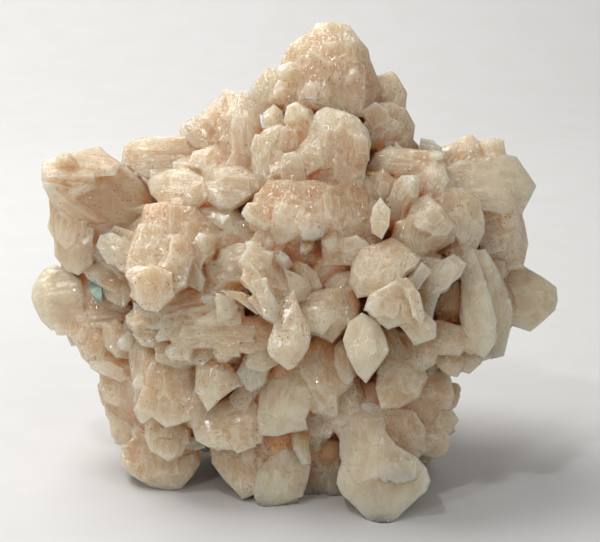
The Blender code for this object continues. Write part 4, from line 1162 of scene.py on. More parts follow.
def green_shape(margin):
    """The small green crystal, a stubby four-sided point, grown outwards by a margin."""
    root = seen(*GREEN_ROOT)
    tip = seen(*GREEN_TIP)
    along = (tip - root).normalized()
    half = GREEN_WIDE / 2 + margin
    length = (tip - root).length
    shape = bmesh.new()
    sideways = along.orthogonal().normalized()
    upright = along.cross(sideways)
    rings = []
    for share, size in GREEN_LEVELS:
        ring = []
        level = root + along * (length * share - (margin if share == 0.0 else 0.0))
        for corner in range(GREEN_SIDES):
            angle = math.tau / GREEN_SIDES * corner + GREEN_SPIN
            spread = sideways * math.cos(angle) + upright * math.sin(angle) * GREEN_FLATNESS
            ring.append(shape.verts.new(level + spread * half * size))
        rings.append(ring)
    top = shape.verts.new(root + along * (length + margin * GREEN_TIP_GAP))
    shape.faces.new(rings[0])
    for corner in range(GREEN_SIDES):
        after = (corner + 1) % GREEN_SIDES
        shape.faces.new((rings[0][corner], rings[0][after], rings[1][after], rings[1][corner]))
        shape.faces.new((rings[1][corner], rings[1][after], top))
    return shape


def worn(outline, rng):
    """An outline with small teeth along its edges, none of them outside it."""
    toothed = []
    middle_x, middle_z = middle_of(outline)
    for (x0, z0), (x1, z1) in sides_of(outline):
        toothed.append((x0, z0))
        pieces = round(math.hypot(x1 - x0, z1 - z0) / EDGE_PIECE)
        for piece in range(1, pieces):
            share = (piece + rng.uniform(-EDGE_SHIFT, EDGE_SHIFT)) / pieces
            x = x0 + (x1 - x0) * share
            z = z0 + (z1 - z0) * share
            away = max(math.hypot(x - middle_x, z - middle_z), EDGE_AWAY)
            dip = rng.uniform(0.0, EDGE_DIP) / away
            toothed.append((x - (x - middle_x) * dip, z - (z - middle_z) * dip))
    return toothed


def drawn_in(outline, inset):
    """An outline that is smaller all round."""
    wide, length = size_of(outline)
    middle_x, middle_z = middle_of(outline)
    return [
        (x - (x - middle_x) * 2 * inset / wide, z - (z - middle_z) * 2 * inset / length)
        for x, z in outline
    ]


def roof_over(outline, thick, rng):
    """Where a crystal's front is highest, and how steep it slopes away from there."""
    wide, length = size_of(outline)
    left = min(x for x, z in outline)
    low = min(z for x, z in outline)
    return {
        "crest": left + wide * rng.uniform(*CREST_SHARE),
        "slopes": [math.tan(math.radians(rng.uniform(*SIDE_SLOPE))) for side in range(2)],
        "from": low + length * rng.uniform(*TIP_SHARE),
        "tip": math.tan(math.radians(rng.uniform(*TIP_SLOPE))),
        "most": thick * ROOF_MOST,
    }


def roof_depth(roof, x, z):
    """How far a place on a crystal's front lies behind its crest."""
    side = x - roof["crest"]
    depth = abs(side) * roof["slopes"][side > 0] + max(z - roof["from"], 0.0) * roof["tip"]
    return min(depth, roof["most"])


def sound_fan(front, crest, fan):
    """Whether the faces from a front's edge to its crest all turn the same way."""
    turns = set()
    for index, after, near, far in fan:
        for end in {near, far}:
            (x0, z0), (x1, z1), (x2, z2) = front[index], front[after], crest[end]
            turns.add((x1 - x0) * (z2 - z0) - (z1 - z0) * (x2 - x0) > 0)
    return len(turns) == 1


def span_at(across, outline):
    """The lowest and the highest point of an outline at a place across it."""
    heights = []
    for (x0, z0), (x1, z1) in sides_of(outline):
        if min(x0, x1) <= across <= max(x0, x1) and x0 != x1:
            heights.append(z0 + (z1 - z0) * (across - x0) / (x1 - x0))
    return min(heights), max(heights)


def mesh_from(name, shape):
    """A mesh of a shape, whose faces point outwards."""
    bmesh.ops.recalc_face_normals(shape, faces=shape.faces)
    mesh = bpy.data.meshes.new(name)
    shape.to_mesh(mesh)
    shape.free()
    return mesh


def mark_faces(mesh, number):
    """Store on each face the number of the plate that it belongs to."""
    which = mesh.attributes.new("which", "INT", "FACE")
    which.data.foreach_set("value", [number] * len(mesh.polygons))


class Plates:
    """The closed plates of one piece, with what the finish needs to know about each."""

    def __init__(self, name):
        self.name = name
        self.group = bpy.data.collections.new(name + " plates")
        bpy.context.scene.collection.children.link(self.group)
        self.places = []
        self.facts = []

    def add_mesh(self, shape, place, facts):
        """Take over a closed shape that is already in place."""
        mesh = mesh_from("plate", shape)
        mark_faces(mesh, len(self.places))
        self.group.objects.link(bpy.data.objects.new("plate", mesh))
        self.places.append(np.array(place.inverted()))
        self.facts.append(facts)

    def add_plate(self, outline, levels, place, facts):
        """A flat closed plate. Each level is (depth behind the front, how far it is drawn in)."""
        shape = bmesh.new()
        rings = []
        for depth, inset in levels:
            spots = [place @ Vector((x, depth, z)) for x, z in drawn_in(outline, inset)]
            rings.append([shape.verts.new(spot) for spot in spots])
        shape.faces.new(rings[0])
        self.close_sides(shape, rings)
        self.add_mesh(shape, place, facts)

    def close_sides(self, shape, rings):
        """The side faces between rings, and the back."""
        shape.faces.new(list(reversed(rings[-1])))
        count = len(rings[0])
        for near, far in zip(rings[:-1], rings[1:]):
            for index in range(count):
                after = (index + 1) % count
                shape.faces.new((near[after], near[index], far[index], far[after]))

    def add_crystal(self, entry, rng):
        """One crystal: a body with a roofed front, and ribs along it."""
        outline = entry["outline"]
        wide, length = size_of(outline)
        low = min(z for x, z in outline)
        ribs, clear = entry.get("ribs", PLAIN_RIBS), entry.get("clear", 0.0)
        facts = Facts(low, length, entry["warm"], rng.uniform(-1, 1), ribs, clear)
        rim = min(min(wide, length) * RIM_SHARE, RIM_MOST)
        roof = roof_over(outline, entry["thick"], rng)
        self.add_body(entry, worn(outline, rng), rim, roof, facts)
        if min(wide, length) > RIBS_FROM:
            self.add_ribs(entry, roof, rim, facts, rng)

    def add_mates(self, entry, rng):
        """Smaller crystals that have grown on a large one's front, almost parallel to it."""
        outline = entry["outline"]
        size = min(size_of(outline))
        for number in range((size > MATE_FROM) + (size > SECOND_MATE_FROM)):
            anchor = rng.choice(outline)
            shares = [rng.uniform(*MATE_SHARE) for axis in range(2)]
            spots = [
                [a * MATE_ANCHOR + (v - a) * share for v, a, share in zip(corner, anchor, shares)]
                for corner in outline
            ]
            x, z = middle_of(spots)
            place = entry["place"] @ Matrix.Translation((x, -rng.uniform(*MATE_RISE), z))
            for axis in ("X", "Z"):
                tilt = math.radians(rng.uniform(-MATE_TILT, MATE_TILT))
                place = place @ Matrix.Rotation(tilt, 4, axis)
            mate = {
                "outline": [(across - x, along - z) for across, along in spots],
                "place": place, "eye": None, "thick": MATE_THICK,
                "warm": entry["warm"], "ribs": entry["ribs"],
            }
            self.add_crystal(mate, rng)

    def add_body(self, entry, outline, rim, roof, facts):
        """The body of a crystal. Its front slopes away from a crest that runs along it."""
        shape = bmesh.new()
        place, eye = entry["place"], entry["eye"]
        levels = [(rim * depth, rim * inset, 1.0) for depth, inset in RIM_LEVELS]
        rings = []
        for depth, inset, share in levels + [(entry["thick"], 0.0, 0.0)]:
            ring = []
            for x, z in drawn_in(outline, inset):
                inwards = depth + roof_depth(roof, x, z) * share
                spot = Vector((x, 0.0 if eye else inwards, z))
                if eye:
                    spot = eye + (spot - eye) * (1.0 - inwards / eye.y)
                ring.append(shape.verts.new(place @ spot))
            rings.append(ring)
        front = drawn_in(outline, rim * RIM_LEVELS[0][1])
        bottom, top = span_at(roof["crest"], front)
        share = (top - bottom) * CREST_END
        crest = [(roof["crest"], bottom + share), (roof["crest"], min(roof["from"], top - share))]
        middle = (crest[0][1] + crest[1][1]) / 2
        fan = []
        for index in range(len(front)):
            after = (index + 1) % len(front)
            fan.append((index, after, front[index][1] > middle, front[after][1] > middle))
        if sound_fan(front, crest, fan):
            ends = [shape.verts.new(place @ Vector((x, 0.0, z))) for x, z in crest]
            for index, after, near, far in fan:
                middles = [ends[near]] if near == far else [ends[far], ends[near]]
                shape.faces.new([rings[0][index], rings[0][after], *middles])
        else:
            shape.faces.new(rings[0])
        self.close_sides(shape, rings)
        self.add_mesh(shape, place, facts)

    def add_ribs(self, entry, roof, rim, facts, rng):
        """Narrow ribs side by side, which make a crystal's front striated."""
        outline = entry["outline"]
        wide, length = size_of(outline)
        left = min(x for x, z in outline)
        number = round(wide / RIB_WIDE * facts.ribs)
        for index in range(number):
            share = (index + rng.uniform(*RIB_SHIFT)) / number
            x = left + wide * (0.5 + RIB_REACH * (share - 0.5))
            low, top = span_at(x, outline)
            low += (top - low) * rng.uniform(*RIB_LOW)
            end = rim * rng.uniform(*RIB_END)
            top -= end + (top - low) * rng.choice(RIB_SHORTER) * rng.random()
            top = min(top, roof["from"] + rng.uniform(0.0, RIB_PAST_ROOF))
            slim = wide / max(number, RIBS_FEWEST) * rng.uniform(*RIB_SHARE) / 2
            if top < low + RIB_SHORTEST:
                continue
            most = (top - low) * RIB_SHOULDER_MOST
            right_shoulder, left_shoulder = (
                min(slim * rng.uniform(*RIB_SHOULDER), most) for side in range(2)
            )
            rib = [
                (-slim, low - top), (slim, low - top), (slim, -right_shoulder),
                (slim * rng.uniform(-RIB_LEAN, RIB_LEAN), 0.0), (-slim, -left_shoulder),
            ]
            depth = roof_depth(roof, x, low) - rng.uniform(*RIB_RISE)
            side = roof["slopes"][1] if x > roof["crest"] else -roof["slopes"][0]
            swing = math.radians(rng.uniform(-RIB_SWING, RIB_SWING))
            here = entry["place"] @ Matrix.Translation((x, depth, top))
            here = here @ Matrix.Rotation(math.atan(side), 4, "Z")
            here = here @ Matrix.Rotation(swing, 4, "Y")
            levels = [(0.0, RIB_RIM), (RIB_RIM, 0.0), (RIB_DEPTH, 0.0)]
            tone = facts.tone + rng.uniform(-RIB_TONE, RIB_TONE)
            shifted = facts._replace(low=facts.low - top, tone=tone)
            self.add_plate(rib, levels, here, shifted)

    def add_ball(self, centre, radius, rng):
        """An uneven ball of the mass."""
        ball = bmesh.new()
        bmesh.ops.create_icosphere(ball, subdivisions=2, radius=radius)
        for vert in ball.verts:
            vert.co *= rng.uniform(*BALL_SPREAD)
            vert.co += centre
        facts = Facts(0.0, radius, BALL_WARM, 0.0, 0.0, 0.0)
        self.add_mesh(ball, Matrix.Translation(centre), facts)

    def grow_together(self, cutters):
        """One closed mesh of all plates, with the cutters' shapes taken away."""
        block = self.group.objects[0]
        self.group.objects.unlink(block)
        bpy.context.scene.collection.objects.link(block)
        join = block.modifiers.new("join", "BOOLEAN")
        join.operation = "UNION"
        join.solver = "MANIFOLD"
        join.operand_type = "COLLECTION"
        join.collection = self.group
        for cutter in cutters:
            cut = block.modifiers.new("cut", "BOOLEAN")
            cut.operation = "DIFFERENCE"
            cut.solver = "MANIFOLD"
            cut.object = cutter
        graph = bpy.context.evaluated_depsgraph_get()
        mesh = bpy.data.meshes.new_from_object(block.evaluated_get(graph))
        for thing in [block, *self.group.objects, *cutters]:
            bpy.data.objects.remove(thing)
        bpy.data.collections.remove(self.group)
        return mesh


def drop_small_shells(shape, smallest):
    """Delete closed hollows and loose bits: all shells of fewer vertices than this."""
    unseen = set(shape.verts)
    shells = []
    while unseen:
        stack = [unseen.pop()]
        shell = [stack[0]]
        while stack:
            for edge in stack.pop().link_edges:
                for other in edge.verts:
                    if other in unseen:
                        unseen.remove(other)
                        shell.append(other)
                        stack.append(other)
        shells.append(shell)
    loose = [vert for shell in shells if len(shell) < smallest for vert in shell]
    bmesh.ops.delete(shape, geom=loose, context="VERTS")


def fill_creases(shape):
    """Even out the inward creases, so that crystals look grown together."""
    shape.normal_update()
    creased = set()
    for edge in shape.edges:
        if len(edge.link_faces) == 2 and edge.calc_face_angle_signed(0.0) < CREASE_BEND:
            creased.update(edge.verts)
    bmesh.ops.smooth_vert(
        shape, verts=list(creased), factor=CREASE_SHARE,
        use_axis_x=True, use_axis_y=True, use_axis_z=True,
    )


def split_long_edges(shape, longest):
    """Cut long edges in half. Edges that face away from the viewer may be longer."""
    bmesh.ops.triangulate(shape, faces=shape.faces)
    for round_number in range(SPLIT_ROUNDS):
        long_ones = []
        for edge in shape.edges:
            behind = edge.verts[0].normal.dot(OUT_OF_VIEW) < BEHIND_FACING
            if edge.calc_length() > longest * (BEHIND_COARSER if behind else 1.0):
                long_ones.append(edge)
        if not long_ones:
            break
        bmesh.ops.subdivide_edges(shape, edges=long_ones, cuts=1)
        bmesh.ops.triangulate(shape, faces=[face for face in shape.faces if len(face.verts) > 3])


def roughen(shape, amount):
    """Move the surface a little in and out, so that no face is perfectly flat."""
    shape.normal_update()
    low, high = (corner / MM for corner in SOLID_BOX)
    for vert in shape.verts:
        if vert.co.z < GROUND_LEVEL:
            continue
        wave = sum(noise.noise(vert.co * scale) * height for scale, height in WAVES)
        spot = vert.co + vert.normal * wave * amount
        vert.co = [min(max(v, a), b) for v, a, b in zip(spot, low, high)]


# The finish paints highlights along the edges from these marks.
def sharp_edge_marks(shape):
    """One number for each vertex: how sharp the outward edges there are, from 0 to 1."""
    marks = np.zeros(len(shape.verts))
    shape.verts.index_update()
    for edge in shape.edges:
        if len(edge.link_faces) == 2:
            bend = edge.calc_face_angle_signed(0.0)
            for vert in edge.verts:
                marks[vert.index] = max(marks[vert.index], min(bend / EDGE_BEND, 1.0))
    return marks


# The finish paints shade and glow in the hollows from these marks, besides the crystal's own orange
# tint there.
def mark_hollows(mesh, rays, reach):
    """Store on each vertex the share of the view outwards that near crystals block."""
    places = [vert.co.copy() for vert in mesh.vertices]
    tree = BVHTree.FromPolygons(places, [tuple(face.vertices) for face in mesh.polygons])
    spread = []
    for index in range(rays):
        away = math.sqrt((index + 0.5) / rays) * RAY_SPREAD
        angle = GOLDEN_ANGLE * index
        up = math.sqrt(1 - away * away)
        spread.append(Vector((away * math.cos(angle), away * math.sin(angle), up)))
    marks = np.zeros(len(mesh.vertices))
    known = np.zeros(len(mesh.vertices))
    for vert in list(mesh.vertices)[::HOLLOW_EVERY]:
        turn = vert.normal.to_track_quat("Z", "Y")
        start = vert.co + vert.normal * RAY_START * MM
        blocked = 0.0
        for way in spread:
            place, normal, face, distance = tree.ray_cast(start, turn @ way, reach)
            if distance is not None:
                blocked += 1.0 - FAR_BLOCKS_LESS * distance / reach
        known[vert.index] = 1.0
        marks[vert.index] = blocked / rays
    marks = even_out(mesh, marks, HOLLOW_ROUNDS)
    known = np.maximum(even_out(mesh, known, HOLLOW_ROUNDS), LEAST_KNOWN)
    store_numbers(mesh, "hollow", "POINT", marks / known)


def store_numbers(mesh, name, domain, values):
    """Write one number for each vertex, or for each corner of a face."""
    stored = mesh.attributes.new(name, "FLOAT", domain)
    stored.data.foreach_set("value", values.astype(np.float32))


def even_out(mesh, marks, rounds):
    """Blend each vertex's number with those of its neighbours, again and again."""
    ends = np.zeros(len(mesh.edges) * 2, int)
    mesh.edges.foreach_get("vertices", ends)
    near, far = ends.reshape(-1, 2).T
    count = len(marks)
    number = np.bincount(near, minlength=count) + np.bincount(far, minlength=count)
    for round_number in range(rounds):
        total = np.bincount(near, marks[far], count) + np.bincount(far, marks[near], count)
        marks = (1 - NEIGHBOUR_SHARE) * marks + NEIGHBOUR_SHARE * total / np.maximum(number, 1)
    return marks


class Number:
    """A number in a finish that varies over the surface, and can be used in sums."""

    def __init__(self, finish, socket):
        self.finish = finish
        self.socket = socket

    def work_out(self, operation, *terms):
        """The result of one operation."""
        inputs = dict(zip(("Value", "Value_001", "Value_002"), terms))
        return self.finish.number("ShaderNodeMath", {"operation": operation}, inputs)

    def __add__(self, other):
        return self.work_out("ADD", self, other)

    __radd__ = __add__

    def __sub__(self, other):
        return self.work_out("SUBTRACT", self, other)

    def __rsub__(self, other):
        return self.work_out("SUBTRACT", other, self)

    def __mul__(self, other):
        return self.work_out("MULTIPLY", self, other)

    __rmul__ = __mul__

    def between(self, low, high):
        """0 up to low, 1 from high on, and a smooth rise between them."""
        inputs = {"Value": self, "From Min": low, "From Max": high}
        settings = {"interpolation_type": "SMOOTHSTEP", "clamp": True}
        return self.finish.number("ShaderNodeMapRange", settings, inputs)


class Finish:
    """A material, its first shader, and the nodes that feed it."""

    def __init__(self, name):
        self.material = bpy.data.materials.new(name)
        self.material.use_nodes = True
        self.nodes = self.material.node_tree.nodes
        self.links = self.material.node_tree.links
        self.shader = self.nodes["Principled BSDF"]
        self.output = self.nodes["Material Output"]

    def feed(self, node, inputs):
        """Set a node's sockets, named by identifier, to values or links."""
        sockets = {socket.identifier: socket for socket in node.inputs}
        for name, value in inputs.items():
            if isinstance(value, Number):
                value = value.socket
            if isinstance(value, bpy.types.NodeSocket):
                self.links.new(value, sockets[name])
            else:
                sockets[name].default_value = value

    def node(self, kind, settings, inputs):
        """Add a node with these settings and inputs."""
        made = self.nodes.new(kind)
        for name, value in settings.items():
            setattr(made, name, value)
        self.feed(made, inputs)
        return made

    def number(self, kind, settings, inputs, output=0):
        """The number that a new node gives."""
        return Number(self, self.node(kind, settings, inputs).outputs[output])

    def marked(self, name):
        """A number that is stored on the mesh."""
        return self.number("ShaderNodeAttribute", {"attribute_name": name}, {}, "Fac")

    def place_in_crystal(self, fineness):
        """Millimetres across, through and along the crystal, each times a factor."""
        stored = self.node("ShaderNodeAttribute", {"attribute_name": "grain"}, {})
        scaled = self.node(
            "ShaderNodeVectorMath",
            {"operation": "MULTIPLY"},
            {"Vector": stored.outputs["Vector"], "Vector_001": fineness},
        )
        return scaled.outputs[0]

    def mottle(self, place, scale, detail):
        """Soft noise around one half."""
        inputs = {"Vector": place, "Scale": scale, "Detail": detail}
        return self.number("ShaderNodeTexNoise", {}, inputs)

    def pattern(self, fineness, detail):
        """Soft noise that follows the crystal."""
        return self.mottle(self.place_in_crystal(fineness), 1.0, detail)

    def facets(self, fineness):
        """Cells that are each tilted another way, like the faces of many small crystals."""
        place = self.place_in_crystal(fineness)
        cells = self.node("ShaderNodeTexVoronoi", {}, {"Vector": place, "Scale": 1.0}).outputs
        subtract = {"operation": "SUBTRACT"}
        tilt = {"Vector": cells["Color"], "Vector_001": (0.5, 0.5, 0.5)}
        aside = {"Vector": place, "Vector_001": cells["Position"]}
        tilt = self.node("ShaderNodeVectorMath", subtract, tilt).outputs["Vector"]
        aside = self.node("ShaderNodeVectorMath", subtract, aside).outputs["Vector"]
        both = {"Vector": tilt, "Vector_001": aside}
        return self.number("ShaderNodeVectorMath", {"operation": "DOT_PRODUCT"}, both, "Value")

    def blend(self, share, first, second, way="MIX"):
        """A colour between two colours."""
        inputs = {"Factor_Float": share, "A_Color": first, "B_Color": second}
        mixed = self.node("ShaderNodeMix", {"data_type": "RGBA", "blend_type": way}, inputs)
        return mixed.outputs[2]

    def bump(self, height, strength, distance):
        """The normal of a surface with this relief."""
        inputs = {"Height": height, "Strength": strength, "Distance": distance}
        return self.node("ShaderNodeBump", {}, inputs).outputs[0]


def growth_steps(finish):
    """Terraces along a crystal, and the painted glints: bright streaks at their edges."""
    wave = finish.pattern(TERRACES, 3.0) * TERRACE_NUMBER
    return wave.work_out("FLOOR", wave), 1 - wave.work_out("FRACT", wave).between(0.0, 0.16)


def crystal_colour(finish, glint_lines, tints):
    """Pale at tips and edges, peach along the body and orange-brown in the hollows.

    The pale tips and edges are painted highlight and glow of light through thin crystal. The
    orange-brown in the hollows is partly the crystal's own tint and partly painted shade and glow,
    and its darkest brown is painted shade.
    """
    hollow = finish.marked("hollow")
    growth = finish.marked("growth")
    edge = finish.marked("edge")
    stripes = finish.pattern(STRIPES, 4.0)
    clouds = finish.pattern(CLOUDS, 3.0)
    veils = finish.pattern(VEILS, 4.0)
    frost = finish.pattern(FROST, 5.0)
    # Warmth: the crystal's own tint by crystal, cloud and stripe, warmer towards the root. It is a
    # little less warm on sharp edges, as part of their painted highlight.
    warmth = finish.marked("warm") * 0.9 + (clouds - 0.5) * 1.2 + (stripes - 0.5) * 0.1
    warmth = warmth + (0.5 - growth) * 0.5 - edge * 0.1
    # Painted shade and glow in the hollows: deep rises where near crystals block the view, with
    # some cloud.
    deep = hollow.between(0.2, 0.9) + (clouds - 0.5) * 0.4
    colour = finish.blend(warmth.between(0.0, 0.9), tints.pale, tints.peach)
    orange_share = (deep + (warmth - 0.45) * 0.5).between(0.2, 0.85)
    # Orange in the hollows is partly the crystal's own tint and partly painted glow and shade.
    # Brown in the deepest hollows is painted shade.
    colour = finish.blend(orange_share, colour, tints.orange)
    colour = finish.blend(deep.between(0.6, 1.1) * 0.7, colour, tints.brown)
    # Lightness: frost, veils, tone and stripes are the crystal's own paler patches. The edge term
    # is painted highlight, the growth term is painted glow through thin tips, and the deep term is
    # painted shade.
    light = (frost - 0.5) * 0.3 + edge * 0.45 + (growth - 0.5) * 0.35 + (veils - 0.5) * 0.9
    light = light + finish.marked("tone") * 0.14 + (stripes - 0.5) * 0.2 - deep * 0.4
    colour = finish.blend(light.between(-0.1, 0.5) * 0.75, colour, tints.frost_and_painted_highlight)
    fibres = finish.pattern(FIBRES, 4.0)
    patch = finish.pattern(FIBRE_PATCHES, 3.0).between(0.4, 0.62)
    colour = finish.blend((0.1 - fibres.between(0.3, 0.5) * 0.1) * patch, colour, tints.orange)
    colour = finish.blend(fibres.between(0.5, 0.68) * 0.25, colour, tints.frost_and_painted_highlight)
    # Painted glints: the terrace edges made paler where the frost pattern lets them show.
    colour = finish.blend(glint_lines * frost.between(0.4, 0.6) * 0.45, colour, tints.frost_and_painted_highlight)
    return colour, stripes, frost


def specks(finish, colour, tints):
    """Dark mineral specks, dense in some patches."""
    inputs = {"Vector": finish.place_in_crystal(SPECKS), "Scale": SPECK_SCALE}
    spots = finish.number("ShaderNodeTexVoronoi", {}, inputs, "Distance")
    near = 1 - spots.between(0.12, 0.24)
    patch = finish.pattern(SPECK_PATCHES, 3.0).between(0.48, 0.62)
    dust = finish.pattern(DUST, 0.0).between(0.66, 0.78)
    colour = finish.blend(dust * patch * 0.3, colour, tints.brown)
    return finish.blend(near * patch * 0.8, colour, tints.speck)


def relief(finish, steps, stripes, frost):
    """Height of the fine relief: long facets, terraces, striations and frost."""
    long_facets = finish.facets(LONG_FACETS)
    small_facets = finish.facets(SMALL_FACETS)
    patch = finish.pattern(SUGAR_PATCHES, 2.0).between(0.45, 0.6)
    ribbed = stripes * (0.2 + finish.marked("ribs") * 0.5)
    sugar = finish.facets(SUGAR)
    long_facets = long_facets * (0.5 + finish.marked("clear") * 0.5)
    height = long_facets + small_facets * (0.12 + patch * 0.3) + ribbed + frost * 0.06
    return height + sugar * (0.25 + patch * 0.5) + steps * 0.12


def crystal_finish(tints):
    """Milky, pearly crystal, and glassy crystal that light goes into and through."""
    finish = Finish("stilbite")
    steps, glint_lines = growth_steps(finish)
    colour, stripes, frost = crystal_colour(finish, glint_lines, tints)
    height = relief(finish, steps, stripes, frost)
    finish.feed(finish.shader, {
        "Base Color": specks(finish, colour, tints),
        "Roughness": 0.02 + frost * 0.18,
        "Normal": finish.bump(height, 1.0, RELIEF_DEPTH),
        "IOR": REFRACTION,
        "Specular IOR Level": 1.0,
        "Subsurface Weight": tints.glow,
        "Subsurface Radius": (1.0, 0.88, 0.76),
        "Subsurface Scale": tints.glow_depth,
        "Coat Weight": 0.15,
        "Coat Roughness": 0.1,
    })
    veil = finish.pattern(GLASS_VEILS, 4.0)
    glassy = finish.node("ShaderNodeBsdfPrincipled", {}, {
        "Base Color": finish.blend(0.3 + veil.between(0.4, 0.6) * 0.4, colour, tints.glass),
        "Roughness": 0.02 + frost * 0.12,
        "Normal": finish.bump(height, 1.0, RELIEF_DEPTH),
        "IOR": REFRACTION,
        "Specular IOR Level": 1.0,
        "Transmission Weight": tints.clearness,
        "Subsurface Weight": tints.glow,
        "Subsurface Radius": (1.0, 0.92, 0.84),
        "Subsurface Scale": tints.glow_depth,
    })
    shaders = {"Shader": finish.shader.outputs["BSDF"], "Shader_001": glassy.outputs["BSDF"]}
    patches = finish.pattern(GLASS_PATCHES, 2.0).between(0.4, 0.65)
    share = (finish.marked("clear") + patches * 0.45).between(0.0, 1.0)
    mixed = finish.node("ShaderNodeMixShader", {}, {"Fac": share, **shaders})
    finish.feed(finish.output, {"Surface": mixed.outputs[0]})
    return finish.material


def green_finish(tints):
    """Dull blue-green crystal with a slight gloss and lighter clouds."""
    finish = Finish("green crystal")
    place = finish.node("ShaderNodeNewGeometry", {}, {}).outputs["Position"]
    cloud = finish.mottle(place, GREEN_CLOUDS, 3.0)
    finish.feed(finish.shader, {
        "Base Color": finish.blend(cloud.between(0.35, 0.65), tints.green, tints.green_light),
        "Roughness": 0.22 + cloud * 0.2,
        "IOR": GREEN_REFRACTION,
        "Normal": finish.bump(cloud, 0.3, GREEN_RELIEF_DEPTH),
    })
    return finish.material


def floor_finish(stage):
    """A matt pale floor with a faint mottle."""
    finish = Finish("pale floor")
    place = finish.node("ShaderNodeNewGeometry", {}, {}).outputs["Position"]
    grain = finish.mottle(place, FLOOR_GRAIN, 2.0)
    finish.feed(finish.shader, {
        "Base Color": finish.blend(grain.between(0.3, 0.7), stage.floor, stage.floor_shade),
        "Roughness": 0.6 + grain * 0.1,
    })
    return finish.material


def tint(name, description, default):
    """A colour that can be set in the sidebar."""
    return bpy.props.FloatVectorProperty(
        name=name, description=description, default=default,
        size=4, min=0.0, max=1.0, subtype="COLOR",
    )


def share_setting(name, description, default):
    """A number from 0 to 1 that can be set in the sidebar."""
    return bpy.props.FloatProperty(
        name=name, description=description, default=default, min=0.0, max=1.0, subtype="FACTOR"
    )


def length_setting(name, description, default, least):
    """A length in metres that can be set in the sidebar."""
    return bpy.props.FloatProperty(
        name=name, description=description, default=default, min=least, unit="LENGTH"
    )


def power_setting(name, description, default):
    """A light's power in watts that can be set in the sidebar."""
    return bpy.props.FloatProperty(
        name=name, description=description, default=default, min=0.0, unit="POWER"
    )


class CrystalSizes(bpy.types.PropertyGroup):
    """Sizes of the mesh and of what grows on it"""

    seams: length_setting(
        "Seam spacing", "Distance between the small crystals along a large one's edge",
        12.0 * MM, 2 * MM,
    )
    druse: length_setting(
        "Druse spacing", "Distance between the small crystals that cover the mass",
        6.0 * MM, 2 * MM,
    )
    mesh: length_setting("Mesh size", "Longest edge of the mesh on the face", 2.1 * MM, 0.5 * MM)
    rough: length_setting("Unevenness", "How far the faces go in and out", 0.10 * MM, 0.0)
    rays: bpy.props.IntProperty(
        name="Hollow rays", description="Rays that test how deep in a hollow a place lies",
        default=14, min=4,
    )
    hollow: length_setting(
        "Hollow reach", "How near crystals must be to shade a hollow", 20 * MM, 1 * MM
    )


class CrystalTints(bpy.types.PropertyGroup):
    """Colours of the crystals and how light goes through them"""

    # The frost tint is the crystal's pale frost, and also the painted highlight and glow on edges,
    # tips and terrace edges.
    frost_and_painted_highlight: tint("Frost", "Frosted edges and tips", (0.80, 0.675, 0.50, 1))
    pale: tint("Pale", "Pale crystal", (0.62, 0.465, 0.30, 1))
    peach: tint("Peach", "Body of the crystals", (0.58, 0.34, 0.175, 1))
    # Orange and brown are the crystal's own tints in fibres and dust, and also painted shade and
    # glow in the hollows.
    orange: tint("Orange", "Hollows between the crystals", (0.76, 0.35, 0.11, 1))
    brown: tint("Brown", "Deepest hollows", (0.34, 0.11, 0.035, 1))
    speck: tint("Speck", "Dark mineral specks", (0.07, 0.04, 0.02, 1))
    glass: tint("Glass", "Glassy crystals", (0.91, 0.77, 0.56, 1))
    green: tint("Green", "Green crystal", (0.16, 0.25, 0.19, 1))
    green_light: tint("Light green", "Lighter clouds in the green crystal", (0.36, 0.46, 0.38, 1))
    glow: share_setting("Glow", "How much light goes through the milky crystal", 1.0)
    glow_depth: length_setting("Glow depth", "How deep light goes into the crystal", 16.0 * MM, 0.0)
    clearness: share_setting("Clearness", "Share of clear crystal in the glassy ones", 0.12)


class StageSizes(bpy.types.PropertyGroup):
    """Colours of the floor and strengths of the lights"""

    floor: tint("Floor", "Floor and backdrop", (0.66, 0.66, 0.66, 1))
    floor_shade: tint("Floor shade", "Faint mottle of the floor", (0.645, 0.645, 0.64, 1))
    key: power_setting("Window light", "Power of the large light at the upper left, behind", 5.5)
    fill: power_setting("Front light", "Power of the soft light in front", 0.65)
    glint: power_setting("Glint lights", "Power of each small lamp that makes facets flash", 0.75)
    sky: bpy.props.FloatProperty(
        name="Room light", description="Strength of the light from all round",
        default=0.25, min=0.0,
    )


def finished_piece(plates, cutters, sizes, material):
    """Join the plates, refine the mesh, and store on it what the finish reads."""
    mesh = plates.grow_together(cutters)
    shape = bmesh.new()
    shape.from_mesh(mesh)
    drop_small_shells(shape, SMALLEST_SHELL)
    split_long_edges(shape, sizes.mesh / MM)
    fill_creases(shape)
    roughen(shape, sizes.rough / MM)
    edge = sharp_edge_marks(shape)
    shape.to_mesh(mesh)
    shape.free()
    mesh.name = plates.name
    store_marks(mesh, plates, edge)
    mesh.transform(Matrix.Scale(MM, 4))
    mesh.shade_smooth()
    mesh.set_sharp_from_angle(angle=SMOOTH_BELOW)
    mesh.materials.clear()
    mesh.materials.append(material)
    piece = bpy.data.objects.new(plates.name, mesh)
    bpy.context.scene.collection.objects.link(piece)
    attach(piece, "root")
    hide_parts("stilbite_cluster")
    return piece


